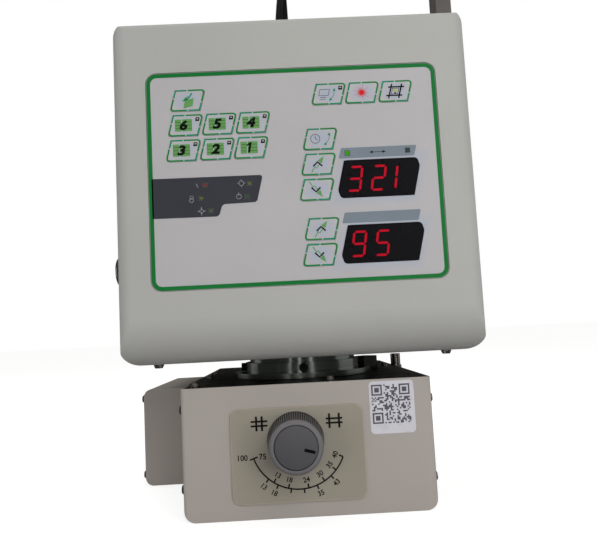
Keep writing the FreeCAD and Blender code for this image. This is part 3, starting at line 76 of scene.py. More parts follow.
# Roughness, spread of tone and size of its clouds, size and depth of the grain, and spread of
# roughness, with sizes in millimetres.
GRAINS = {
    "lead_jacket": (0.42, 0.12, 20.0, 0.5, 0.012, 0.08),
    "plug_plastic": (0.5, 0.1, 12.0, 0.7, 0.03, 0.08),
    "strap_cloth": (0.85, 0.2, 3.0, 0.35, 0.12, 0.05),
    "black_enamel": (0.38, 0.08, 25.0, 1.2, 0.002, 0.08),
    "moulded_plastic": (0.55, 0.06, 20.0, 0.8, 0.05, 0.08),
    "hook_plastic": (0.5, 0.08, 9.0, 0.8, 0.03, 0.08),
    "rocker_plastic": (0.3, 0.06, 8.0, 1.2, 0.004, 0.08),
    "nickel_plate": (0.16, 0.06, 3.0, 0.8, 0.004, 0.06),
    "black_oxide": (0.35, 0.1, 2.0, 0.6, 0.01, 0.08),
    "circuit_board": (0.38, 0.2, 7.0, 0.9, 0.03, 0.08),
    "silvered_film": (0.06, 0.02, 30.0, 8.0, 0.002, 0.03),
    "lamp_holder": (0.5, 0.08, 9.0, 0.8, 0.02, 0.08),
    "smoked_window": (0.3, 0.1, 14.0, 0.8, 0.003, 0.06),
    "lamp_lens": (0.3, 0.1, 2.0, 0.6, 0.01, 0.08),
    "dark_lens": (0.3, 0.1, 1.0, 0.5, 0.01, 0.08),
    "dial_film": (0.4, 0.03, 22.0, 0.5, 0.006, 0.08),
    "knob_plastic": (0.46, 0.04, 8.0, 0.5, 0.01, 0.08),
    "knob_face": (0.42, 0.03, 8.0, 0.5, 0.006, 0.08),
    # The knob's darker plastic, for the faces between the ribs and the ring round the cap, is
    # painted shade.
    "knob_groove": (0.6, 0.06, 4.0, 0.5, 0.01, 0.08),
    "sticker_paper": (0.3, 0.03, 12.0, 0.6, 0.004, 0.08),
    "ink": (0.42, 0.03, 18.0, 0.3, 0.003, 0.06),
}
# Sizes of the enamel's clouds, dust specks, smears, orange peel and fine grain.
CLOUDS, SPECKS, SMEARS, PEEL, FINE = 70.0, 1.4, 24.0, 1.9, 0.35


def new_finish(name, roughness=0.5, metallic=0.0, specular=0.5):
    material = bpy.data.materials.new(name)
    material.use_nodes = True
    shader = material.node_tree.nodes["Principled BSDF"]
    shader.inputs["Roughness"].default_value = roughness
    shader.inputs["Metallic"].default_value = metallic
    shader.inputs["Specular IOR Level"].default_value = specular
    return material, shader


def add_node(owner, kind, **values):
    """A new node in the tree of a material or the world."""
    node = owner.node_tree.nodes.new(kind)
    for key, value in values.items():
        setattr(node, key, value)
    return node


def place_on(material, centre=(0, 0, 0), stretch=(1, 1, 1)):
    """Object coordinates in millimetres about a centre, stretched along the axes."""
    where = add_node(material, "ShaderNodeTexCoord")
    mapping = add_node(material, "ShaderNodeMapping", vector_type="POINT")
    mapping.inputs["Scale"].default_value = [value / MM for value in stretch]
    mapping.inputs["Location"].default_value = [-c * s for c, s in zip(centre, stretch)]
    material.node_tree.links.new(where.outputs["Object"], mapping.inputs["Vector"])
    return mapping.outputs["Vector"]


def noise(material, vector, size, detail=3.0, roughness=0.55):
    """Noise whose blotches are about size millimetres across."""
    node = add_node(material, "ShaderNodeTexNoise")
    node.inputs["Scale"].default_value = 1 / size
    node.inputs["Detail"].default_value = detail
    node.inputs["Roughness"].default_value = roughness
    material.node_tree.links.new(vector, node.inputs["Vector"])
    return node.outputs["Fac"]


def spread(owner, value, low, high, floor=0.3, ceiling=0.7):
    """Maps values from floor to ceiling onto low to high, and clamps the rest."""
    node = add_node(owner, "ShaderNodeMapRange")
    node.inputs["From Min"].default_value = floor
    node.inputs["From Max"].default_value = ceiling
    node.inputs["To Min"].default_value = low
    node.inputs["To Max"].default_value = high
    owner.node_tree.links.new(value, node.inputs["Value"])
    return node.outputs["Result"]


def blend_colours(material, share, first, second):
    node = add_node(material, "ShaderNodeMix", data_type="RGBA")
    links = material.node_tree.links
    for socket, colour in ((node.inputs["A"], first), (node.inputs["B"], second)):
        if not isinstance(colour, bpy.types.NodeSocket):
            socket.default_value = (*colour[:3], 1.0)
        else:
            links.new(colour, socket)
    links.new(share, node.inputs["Factor"])
    return node.outputs["Result"]


def scaled(colour, factor):
    return tuple(min(1.0, channel * factor) for channel in colour[:3])


def colour_with(material, shader, share, first, second):
    result = blend_colours(material, share, first, second)
    material.node_tree.links.new(result, shader.inputs["Base Color"])
    return result


def rough_with(material, shader, value):
    material.node_tree.links.new(value, shader.inputs["Roughness"])


def bump_with(material, shader, height, depth):
    """Bump of a height from 0 to 1 over a depth in millimetres."""
    node = add_node(material, "ShaderNodeBump")
    node.inputs["Strength"].default_value = 1.0
    node.inputs["Distance"].default_value = depth * MM
    links = material.node_tree.links
    links.new(height, node.inputs["Height"])
    links.new(node.outputs["Normal"], shader.inputs["Normal"])


def combine(owner, operation, first, second):
    node = add_node(owner, "ShaderNodeMath", operation=operation)
    for socket, value in zip(node.inputs, (first, second)):
        if isinstance(value, (int, float)):
            socket.default_value = value
        else:
            owner.node_tree.links.new(value, socket)
    return node.outputs["Value"]


def textured(name, colour, grain=None, metallic=0.0, specular=0.5):
    """A finish with soft clouds of tone, patches of roughness and a fine grain."""
    roughness, tone, cloud_size, grain_size, grain_depth, gloss = GRAINS[grain or name]
    material, shader = new_finish(name, roughness, metallic, specular)
    vector = place_on(material)
    clouds = spread(material, noise(material, vector, cloud_size), 0.0, 1.0)
    colour_with(material, shader, clouds, scaled(colour, 1 - tone), scaled(colour, 1 + tone))
    patches = noise(material, vector, cloud_size * 0.4, 4.0)
    rough_with(material, shader, spread(material, patches, roughness - gloss, roughness + gloss))
    bump_with(material, shader, noise(material, vector, grain_size, 2.0), grain_depth)
    return material


def cast_paint(name, colour, roughness):
    """Sprayed enamel: a fine orange peel, faint handling marks and a little dust grain."""
    material, shader = new_finish(name, roughness, 0.0, 0.42)
    vector = place_on(material)
    clouds = spread(material, noise(material, vector, CLOUDS, 2.0), 0.0, 1.0)
    tone = blend_colours(material, clouds, scaled(colour, 0.975), scaled(colour, 1.02))
    specks = spread(material, noise(material, vector, SPECKS, 2.0), 0.0, 1.0, 0.66, 0.80)
    faint = combine(material, "MULTIPLY", specks, 0.10)
    colour_with(material, shader, faint, tone, scaled(colour, 0.80))
    smears = noise(material, vector, SMEARS, 5.0, 0.65)
    rough_with(material, shader, spread(material, smears, roughness - 0.07, roughness + 0.09))
    peel = noise(material, vector, PEEL, 2.0, 0.45)
    fine = noise(material, vector, FINE, 1.0, 0.5)
    height = combine(material, "ADD", peel, combine(material, "MULTIPLY", fine, 0.25))
    bump_with(material, shader, height, 0.022)
    return material


def brushed(name, colour, roughness, stretch):
    """Metal with fine lines along the axis that the stretch leaves long."""
    material, shader = new_finish(name, roughness, 1.0)
    vector = place_on(material, stretch=stretch)
    lines = noise(material, vector, 0.5, 4.0, 0.7)
    plain = place_on(material)
    clouds = spread(material, noise(material, plain, 14.0, 3.0), 0.0, 1.0)
    colour_with(material, shader, clouds, scaled(colour, 0.95), scaled(colour, 1.05))
    rough_with(material, shader, spread(material, lines, roughness - 0.1, roughness + 0.14))
    bump_with(material, shader, lines, 0.004)
    return material


def turned_metal(name, colour, roughness):
    """Lathe-turned metal with fine rings about the swivel's axis."""
    material, shader = new_finish(name, roughness, 1.0)
    vector = place_on(material)
    wave = add_node(material, "ShaderNodeTexWave", wave_type="RINGS", rings_direction="Z")
    wave.inputs["Scale"].default_value = 0.9
    wave.inputs["Distortion"].default_value = 0.6
    wave.inputs["Detail"].default_value = 2.0
    material.node_tree.links.new(vector, wave.inputs["Vector"])
    clouds = spread(material, noise(material, vector, 9.0, 3.0), 0.0, 1.0)
    colour_with(material, shader, clouds, scaled(colour, 0.93), scaled(colour, 1.05))
    rough_with(material, shader,
               spread(material, wave.outputs["Fac"], roughness - 0.05, roughness + 0.08, 0, 1))
    bump_with(material, shader, wave.outputs["Fac"], 0.003)
    return material


def glowing(name, colour, strength):
    material, shader = new_finish(name, 0.35, 0.0, 0.08)
    vector = place_on(material)
    share = spread(material, noise(material, vector, 0.8, 1.0), 0.0, 1.0)
    colour_with(material, shader, share, scaled(colour, 0.9), scaled(colour, 1.05))
    shader.inputs["Emission Color"].default_value = (*colour, 1.0)
    shader.inputs["Emission Strength"].default_value = strength
    return material


def see_through(name, colour, roughness):
    material, shader = new_finish(name, roughness)
    vector = place_on(material)
    share = spread(material, noise(material, vector, 12.0, 2.0), 0.0, 1.0)
    colour_with(material, shader, share, scaled(colour, 0.96), scaled(colour, 1.02))
    rough_with(material, shader, spread(material, noise(material, vector, 5.0, 3.0),
                                        max(0.0, roughness - 0.02), roughness + 0.04))
    shader.inputs["Transmission Weight"].default_value = 0.9
    shader.inputs["IOR"].default_value = 1.49
    return material


def length_of(material, u, v):
    square = combine(material, "ADD", combine(material, "MULTIPLY", u, u),
                     combine(material, "MULTIPLY", v, v))
    return combine(material, "SQRT", square, 0.0)


def slanted_place(material, centre, slant):
    """Distances across and up from a centre on a face that looks along -Y, without its slant."""
    vector = place_on(material, (centre[0], 0, centre[1]))
    parts = add_node(material, "ShaderNodeSeparateXYZ")
    material.node_tree.links.new(vector, parts.inputs["Vector"])
    lean = math.tan(math.radians(slant))
    across = combine(material, "SUBTRACT", parts.outputs["X"],
                     combine(material, "MULTIPLY", parts.outputs["Z"], lean))
    return across, parts.outputs["Z"]


def film_base(material, shader, colour):
    """Matt polyester film: a fine emboss, and slight changes of gloss where it is touched."""
    vector = place_on(material)
    clouds = spread(material, noise(material, vector, 40.0, 3.0), 0.0, 1.0)
    tone = blend_colours(material, clouds, scaled(colour, 0.975), scaled(colour, 1.02))
    rough_with(material, shader, spread(material, noise(material, vector, 16.0, 4.0), 0.34, 0.5))
    bump_with(material, shader, noise(material, vector, 0.28, 2.0), 0.006)
    return tone


def label_film(name, colour, shade, windows, slant):
    """The label's film, with a soft cool shade printed round each display window."""
    material, shader = new_finish(name, 0.42, 0.0, 0.42)
    tone = film_base(material, shader, colour)
    total = None
    for x, z, half_width, half_height in windows:
        u, v = slanted_place(material, (x, z), slant)
        over_u = combine(material, "SUBTRACT", combine(material, "ABSOLUTE", u, 0.0), half_width)
        over_v = combine(material, "SUBTRACT", combine(material, "ABSOLUTE", v, 0.0), half_height)
        away = combine(material, "MAXIMUM", over_u, over_v)
        near = spread(material, away, 1.0, 0.0, 0.0, 5.0)
        total = near if total is None else combine(material, "MAXIMUM", total, near)
    colour_with(material, shader, combine(material, "MULTIPLY", total, 0.8), tone, shade)
    return material


def key_film(name, colour, shade, centre, slant):
    """A key's film: the label's tone with a cool oval patch behind the symbol."""
    material, shader = new_finish(name, 0.42, 0.0, 0.42)
    tone = film_base(material, shader, colour)
    u, v = slanted_place(material, centre, slant)
    away = length_of(material, combine(material, "MULTIPLY", u, 0.72), v)
    near = spread(material, away, 1.0, 0.0, 2.6, 6.0)
    colour_with(material, shader, combine(material, "MULTIPLY", near, 0.9), tone, shade)
    return material


# Modelling

LINE_HEIGHT = 0.06
TEXT_SIZE, TEXT_DEPTH = 10.0, 0.06


def keep(name, bm, materials, body, angle=35.0):
    """Makes a finished piece of a mesh in millimetres and lets it ride on a body."""
    bmesh.ops.scale(bm, vec=(MM, MM, MM), verts=bm.verts)
    mesh = bpy.data.meshes.new(name)
    bm.to_mesh(mesh)
    bm.free()
    if not mesh.polygons:
        raise RuntimeError(name + " has no faces")
    mesh.shade_smooth()
    mesh.set_sharp_from_angle(angle=math.radians(angle))
    for material in materials:
        mesh.materials.append(material)
    piece = bpy.data.objects.new(name, mesh)
    bpy.context.scene.collection.objects.link(piece)
    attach(piece, body)
    return piece


def rounded_face(outline, y, rounds, segments):
    """A face that looks along -Y; rounds holds (corner, radius) pairs of its outline."""
    part = bmesh.new()
    verts = [part.verts.new((x, y, z)) for x, z in outline]
    part.faces.new(verts)
    for corner, radius in rounds:
        bmesh.ops.bevel(part, geom=[verts[corner]], offset=radius, segments=segments,
                        profile=0.5, affect="VERTICES", material=-1)
    return part


def add_raised(bm, part, thickness, index=None):
    """Gives flat faces a thickness towards -Y and adds them to a piece as a closed solid."""
    made = bmesh.ops.extrude_face_region(part, geom=part.faces[:])
    verts = [item for item in made["geom"] if isinstance(item, bmesh.types.BMVert)]
    bmesh.ops.translate(part, vec=(0, -thickness, 0), verts=verts)
    bmesh.ops.recalc_face_normals(part, faces=part.faces)
    if index is not None:
        for face in part.faces:
            face.material_index = index
    mesh = bpy.data.meshes.new("part")
    part.to_mesh(mesh)
    part.free()
    bm.from_mesh(mesh)
    bpy.data.meshes.remove(mesh)


def flat(bm, outline, y, thickness=0.05, rounds=(), index=0, segments=6):
    """A closed flat shape."""
    add_raised(bm, rounded_face(outline, y, rounds, segments), thickness, index)


def all_corners(radius):
    return [(corner, radius) for corner in range(4)]


def oblong(x, z, width, height, slant=0.0):
    """Corners of a parallelogram, from the bottom left one; the slant is in degrees."""
    lean = height / 2 * math.tan(math.radians(slant))
    w, h = width / 2, height / 2
    return [(x - w - lean, z - h), (x + w - lean, z - h), (x + w + lean, z + h),
            (x - w + lean, z + h)]


def ring_frame(outline, y, width, rounds=(), segments=8):
    """A flat frame inside an outline."""
    part = rounded_face(outline, y, rounds, segments)
    part.normal_update()
    bmesh.ops.inset_region(part, faces=part.faces[:], thickness=width, use_even_offset=True,
                           use_boundary=True)
    centre = Vector([sum(values) / len(outline) for values in zip(*outline)])
    inner = min(part.faces, key=lambda face: (face.calc_center_median().xz - centre).length)
    bmesh.ops.delete(part, geom=[inner], context="FACES_ONLY")
    return part


def mesh_of(curve):
    """The mesh of a curve or a text; the curve is removed."""
    holder = bpy.data.objects.new(curve.name, curve)
    bpy.context.scene.collection.objects.link(holder)
    bpy.context.view_layer.update()
    graph = bpy.context.evaluated_depsgraph_get()
    mesh = bpy.data.meshes.new_from_object(holder.evaluated_get(graph))
    bpy.data.objects.remove(holder)
    bpy.data.curves.remove(curve)
    return mesh


def add_mesh(bm, mesh, index):
    for polygon in mesh.polygons:
        polygon.material_index = index
    bm.from_mesh(mesh)
    bpy.data.meshes.remove(mesh)


def stroke(bm, points, width, y, index=0, closed=False):
    """A printed line through points on a face that looks along -Y."""
    curve = bpy.data.curves.new("stroke", "CURVE")
    curve.dimensions = "3D"
    curve.bevel_depth = width / 2
    curve.bevel_resolution = 1
    curve.use_fill_caps = True
    spline = curve.splines.new("POLY")
    spline.points.add(len(points) - 1)
    for point, (x, z) in zip(spline.points, points):
        point.co = (x, 0, z, 1)
    spline.use_cyclic_u = closed
    mesh = mesh_of(curve)
    flatten = Matrix.Diagonal((1, 2 * LINE_HEIGHT / width, 1, 1))
    mesh.transform(Matrix.Translation((0, y, 0)) @ flatten)
    add_mesh(bm, mesh, index)


def on_circle(centre, radius, degrees):
    """A point on a circle, with the angle from +X towards +Z."""
    angle = math.radians(degrees)
    return centre[0] + radius * math.cos(angle), centre[1] + radius * math.sin(angle)


def arc(centre, radius, start, end, count=24):
    """Points on an arc, its ends included."""
    step = (end - start) / (count - 1)
    return [on_circle(centre, radius, start + i * step) for i in range(count)]


def number(bm, text, centre, height, y, index=0, slant=0.0, weight=0.0, turn=0.0, squeeze=1.0):
    """Numerals of a height, centred on a point of a face that looks along -Y."""
    curve = bpy.data.curves.new("number", "FONT")
    curve.body = text
    curve.size = TEXT_SIZE
    curve.shear = slant
    curve.offset = weight
    curve.extrude = 0.5
    curve.resolution_u = 4
    mesh = mesh_of(curve)
    xs = [v.co.x for v in mesh.vertices]
    ys = [v.co.y for v in mesh.vertices]
    middle = Matrix.Translation((-(min(xs) + max(xs)) / 2, -(min(ys) + max(ys)) / 2, 0))
    factor = height / (max(ys) - min(ys))
    size = Matrix.Diagonal((factor * squeeze, factor, TEXT_DEPTH, 1))
    upright = Matrix.Rotation(math.pi / 2, 4, "X")
    turned = Matrix.Rotation(-math.radians(turn), 4, "Y")
    mesh.transform(Matrix.Translation((centre[0], y, centre[1])) @ turned @ upright @ size @ middle)
    add_mesh(bm, mesh, index)


def paint_nodes(material, *nodes):
    for name in nodes:
        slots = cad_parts[name].data.materials
        slots.clear()
        slots.append(material)


# Settings

def colour_setting(name, description, red, green, blue):
    return bpy.props.FloatVectorProperty(name=name, description=description, subtype="COLOR",
                                         size=3, min=0.0, max=1.0,
                                         default=linear(red, green, blue))


def length_setting(name, description, default):
    return bpy.props.FloatProperty(name=name, description=description + ", in millimetres",
                                   default=default, min=0.0)


def angle_setting(name, description, degrees):
    return bpy.props.FloatProperty(name=name, description=description, subtype="ANGLE",
                                   default=math.radians(degrees), min=0.0)


def count_setting(name, description, default):
    return bpy.props.IntProperty(name=name, description=description, default=default, min=1)


def strength_setting(name, description, default, unit="NONE"):
    return bpy.props.FloatProperty(name=name, description=description, default=default, min=0.0,
                                   unit=unit)


class CaseSettings(bpy.types.PropertyGroup):
    """Colours of the head and the collimator."""

    head_colour: colour_setting("Head", "Enamel of the head", 172, 172, 168)
    collimator_colour: colour_setting("Collimator", "Enamel of the collimator", 168, 161, 155)
    plate_colour: colour_setting("Plate", "Black enamel of the collimator's top", 14, 16, 15)
    handle_colour: colour_setting("Handle", "Plastic of the handle", 34, 33, 32)
    hook_colour: colour_setting("Hook", "Plastic of the hand switch's hook", 92, 88, 84)


class LabelSettings(bpy.types.PropertyGroup):
    """Colours and line widths of the control label."""

    ground: colour_setting("Ground", "Film of the label", 177, 175, 177)
    key_shade: colour_setting("Key shade", "Cool patch behind a key's symbol", 165, 172, 186)
    band: colour_setting("Band", "Green band round the label", 12, 112, 48)
    leaf: colour_setting("Leaf green", "Rounded corners of a key's frame", 6, 126, 58)
    teal: colour_setting("Teal", "Sharp corners of a key's frame", 0, 134, 98)
    patch: colour_setting("Patch", "Green bars behind a numeral", 98, 152, 84)
    bar: colour_setting("Bar", "Title bars over the displays", 118, 129, 139)
    panel: colour_setting("Panel", "Status panel", 56, 57, 64)
    ink: colour_setting("Ink", "Numerals and symbols", 6, 6, 9)
    red: colour_setting("Red", "Light sign", 206, 22, 30)
    band_width: length_setting("Band width", "Width of the green band", 2.2)
    frame_width: length_setting("Frame width", "Line width of a key's frame", 0.8)
    frame_gap: length_setting("Frame gap", "Break in each side of a key's frame", 0.65)
    slant: angle_setting("Slant", "Slant of the keys", 15.0)


class DisplaySettings(bpy.types.PropertyGroup):
    """Digits behind the two windows."""

    lit: colour_setting("Lit", "Lit segments", 176, 8, 34)
    window: colour_setting("Window", "Smoked film of the windows", 20, 19, 22)
    digit_height: length_setting("Digit height", "Height of a digit", 14.2)
    digit_width: length_setting("Digit width", "Width of a digit", 7.6)
    digit_pitch: length_setting("Digit pitch", "Distance between digits", 12.7)
    window_width: length_setting("Window width", "Width of a window at its middle", 39.6)
    bar_width: length_setting("Segment width", "Width of a segment", 1.25)
    digit_slant: angle_setting("Digit slant", "Slant of the digits", 9.0)


class DialSettings(bpy.types.PropertyGroup):
    """Print of the dial plate."""

    film: colour_setting("Film", "Film of the dial plate", 151, 145, 132)
    ink: colour_setting("Ink", "Scale and signs", 10, 9, 10)
    edge: colour_setting("Edge", "Line along the plate's edge", 172, 160, 148)
    radius: length_setting("Radius", "Radius of the scale", 26.3)
    line: length_setting("Line", "Width of the scale's line", 0.95)
    tick: length_setting("Tick", "Width of a tick", 1.0)
    sign_line: length_setting("Sign line", "Line width of the frame signs", 1.15)


class KnobSettings(bpy.types.PropertyGroup):
    """Plastic and ribs of the knob."""

    side: colour_setting("Side", "Plastic of the knob", 106, 104, 106)
    face: colour_setting("Face", "Cap of the knob", 80, 79, 83)
    # Painted shade: a darker colour laid on the faces between the ribs and on the ring round the
    # cap, where shade falls.
    painted_rib_shade: colour_setting("Groove", "Shade between the ribs", 40, 38, 36)
    pointer: colour_setting("Pointer", "Printed pointer", 4, 4, 5)
    ribs: count_setting("Ribs", "Number of ribs", 76)
    rib_depth: length_setting("Rib depth", "Depth between the ribs", 0.5)


class StickerSettings(bpy.types.PropertyGroup):
    """White sticker of the collimator."""

    paper: colour_setting("Paper", "Paper of the sticker", 204, 203, 210)
    ink: colour_setting("Ink", "Squares of the pattern", 84, 82, 92)
    width: length_setting("Width", "Width of the sticker", 25.0)
    height: length_setting("Height", "Height of the sticker", 28.8)
    pattern: length_setting("Pattern", "Width of the pattern", 21.4)


class LeadSettings(bpy.types.PropertyGroup):
    """The mains lead and its coil."""

    diameter: length_setting("Diameter", "Diameter of the lead", 5.4)
    coil_radius: length_setting("Coil radius", "Radius at the middle of the turns", 35.0)
    coil_points: count_setting("Points", "Points for each turn", 16)


class StudioSettings(bpy.types.PropertyGroup):
    """Camera and light."""

    lens: strength_setting("Lens", "Focal length of the camera", 36.39, "CAMERA")
    sky: strength_setting("Sky", "Strength of the soft light", 0.62)
    key: strength_setting("Key lamp", "Power of the key lamp", 8.8, "POWER")
    top: strength_setting("Top lamp", "Power of the top lamp", 3.5, "POWER")
    left: strength_setting("Left lamp", "Power of the left lamp", 3.8, "POWER")
    right: strength_setting("Right lamp", "Power of the right lamp", 1.7, "POWER")
    back: strength_setting("Back lamps", "Power of each of the two back lamps", 3.4, "POWER")
    strips: strength_setting("Strips", "Brightness of the strip lamps", 1.2)


# Stage

FLOOR_REACH = 12.0
LAMP_TARGET = Vector((0.0, 0.0, 0.1))
# Name, place in metres, size in metres and the setting with the power.
LAMPS = (("key_lamp", (0.5, -1.4, 0.95), 0.9, "key"),
         ("top_lamp", (-0.2, -0.1, 1.6), 0.9, "top"),
         ("left_lamp", (-0.9, -1.0, 0.05), 0.5, "left"),
         ("right_lamp", (0.46, -0.62, 0.03), 0.3, "right"),
         ("back_left_lamp", (-1.15, 0.85, 0.5), 0.8, "back"),
         ("back_right_lamp", (0.95, 1.05, 0.5), 0.8, "back"))
# Place, width, height and share of the brightness of the lamps that metal mirrors.
STRIPS = (((-0.55, -1.15, 0.15), 0.07, 0.9, 1.0), ((-0.14, -1.25, 0.15), 0.07, 0.9, 1.3),
          ((0.38, -1.2, 0.15), 0.14, 0.9, 0.8), ((1.3, 0.2, 0.15), 1.1, 0.6, 0.3),
          ((-1.2, 0.55, 0.15), 0.6, 0.5, 0.25))
CAMERA_PLACE = (-0.00726, -0.411, 0.10093)
CAMERA_YAW, CAMERA_PITCH, CAMERA_ROLL = (math.radians(a) for a in (1.068, 5.191, -2.911))


class XRAY_OT_studio(bpy.types.Operator):
    """Floor, white surroundings, soft lamps and the camera"""

    bl_idname = "xray.studio"
    bl_label = "Studio"

    def execute(self, context):
        settings = context.scene.xray_studio
        self.floor()
        self.surroundings(context, settings.sky)
        for name, place, size, power in LAMPS:
            self.lamp(name, place, size, size, getattr(settings, power), False)
        for count, (place, width, height, share) in enumerate(STRIPS):
            power = settings.strips * math.pi * width * height * share
            self.lamp("strip_lamp_%d" % count, place, width, height, power, True)
        self.camera(context, settings.lens)
        return {"FINISHED"}

    def floor(self):
        """Pale floor that is white to the camera, keeps shadows and is dark in mirrors."""
        bm = bmesh.new()
        bmesh.ops.create_grid(bm, x_segments=2, y_segments=2, size=FLOOR_REACH)
        mesh = bpy.data.meshes.new("floor")
        bm.to_mesh(mesh)
        bm.free()
        material, shader = new_finish("studio_floor", 0.8, 0.0, 0.0)
        tone = blend_colours(material, noise(material, place_on(material), 400.0, 2.0),
                             (0.40, 0.40, 0.40), (0.42, 0.42, 0.42))
        paths = add_node(material, "ShaderNodeLightPath")
        colour_with(material, shader, paths.outputs["Is Glossy Ray"], tone, (0.06, 0.06, 0.06))
        shader.inputs["Emission Color"].default_value = (1, 1, 1, 1)
        glow = combine(material, "MULTIPLY", paths.outputs["Is Camera Ray"], 0.76)
        material.node_tree.links.new(glow, shader.inputs["Emission Strength"])
        mesh.materials.append(material)
        floor = bpy.data.objects.new("floor", mesh)
        bpy.context.scene.collection.objects.link(floor)

    def surroundings(self, context, strength):
        """White behind the object, and a soft sky, dimmer towards the floor and in mirrors."""
        world = bpy.data.worlds.new("studio")
        context.scene.world = world
        world.use_nodes = True
        world.node_tree.nodes.clear()
        link = world.node_tree.links.new
        seen = add_node(world, "ShaderNodeBackground")
        seen.inputs["Color"].default_value = (1, 1, 1, 1)
        soft = add_node(world, "ShaderNodeBackground")
        soft.inputs["Color"].default_value = (1.0, 0.985, 0.965, 1)
        where = add_node(world, "ShaderNodeTexCoord")
        parts = add_node(world, "ShaderNodeSeparateXYZ")
        link(where.outputs["Generated"], parts.inputs[0])
        height = spread(world, parts.outputs["Z"], strength * 0.35, strength, -0.1, 0.9)
        paths = add_node(world, "ShaderNodeLightPath").outputs
        mirrored = spread(world, paths["Is Glossy Ray"], 1.0, 0.15, 0.0, 1.0)
        link(combine(world, "MULTIPLY", height, mirrored), soft.inputs["Strength"])
        mix = add_node(world, "ShaderNodeMixShader")
        link(combine(world, "MAXIMUM", paths["Is Camera Ray"], paths["Is Transmission Ray"]),
             mix.inputs["Fac"])
        link(soft.outputs[0], mix.inputs[1])
        link(seen.outputs[0], mix.inputs[2])
        link(mix.outputs[0], add_node(world, "ShaderNodeOutputWorld").inputs["Surface"])

    def lamp(self, name, place, width, height, power, mirrored):
        data = bpy.data.lights.new(name, "AREA")
        data.shape = "RECTANGLE"
        data.size, data.size_y = width, height
        data.energy = power
        lamp = bpy.data.objects.new(name, data)
        lamp.location = place
        look = LAMP_TARGET - Vector(place)
        lamp.rotation_euler = look.to_track_quat("-Z", "Y").to_euler()
        lamp.visible_camera = False
        lamp.visible_glossy = mirrored
        bpy.context.scene.collection.objects.link(lamp)

    def camera(self, context, lens):
        """The camera that the photograph's edges give."""
        yaw, pitch, roll = CAMERA_YAW, CAMERA_PITCH, CAMERA_ROLL
        ahead = Vector((math.sin(yaw) * math.cos(pitch), math.cos(yaw) * math.cos(pitch),
                        math.sin(pitch)))
        level = Vector((math.cos(yaw), -math.sin(yaw), 0))
        above = level.cross(ahead)
        right = math.cos(roll) * level + math.sin(roll) * above
        up = -math.sin(roll) * level + math.cos(roll) * above
        data = bpy.data.cameras.new("photo_camera")
        data.lens = lens
        data.sensor_width = 36.0
        data.clip_start = 0.01
        data.clip_end = 100.0
        camera = bpy.data.objects.new("photo_camera", data)
        turn = Matrix((right, up, -ahead)).transposed()
        camera.matrix_world = Matrix.Translation(CAMERA_PLACE) @ turn.to_4x4()
        context.scene.collection.objects.link(camera)
        context.scene.camera = camera
        context.scene.view_settings.view_transform = "Standard"


# Lead

# Points of the lead from the gland to the floor, and from the coil to the plug.
ROUTE = [(-5, 45, 307.6), (-5, 45, 336), (-2.2, 52, 368), (0.5, 76, 394), (2, 112, 396),
         (3.5, 146, 371), (5, 162, 322), (4, 172, 262.1), (7.5, 178, 200), (6, 181, 143.9),
         (1, 182, 96), (3, 182, 56.1)]
COIL_CENTRE = (50.0, 224.0)
TO_THE_PLUG = [(34.0, 262.5, 5.5), (27.0, 259.8, 12.0), (20.0, 259.0, 17.0)]
FIRST_HEIGHT, FLOOR_HEIGHT = 19.0, 2.9
TURN_GAP, LAYER_SINK = 0.3, 0.1
# Points lie a little outside their turn, because the spline cuts each corner.
SWING = 1.012
# Shares of a turn by which it has dropped to its layer, and from which it moves to the next one.
DROPPED, MOVES_ON = 0.25, 0.72
STRAP_WIDTH, STRAP_HEIGHT, STRAP_BREADTH, STRAP_CLOTH = 21.0, 18.6, 12.0, 0.9
STRAP_MIDDLE, STRAP_CORNER = 9.5, 4.0


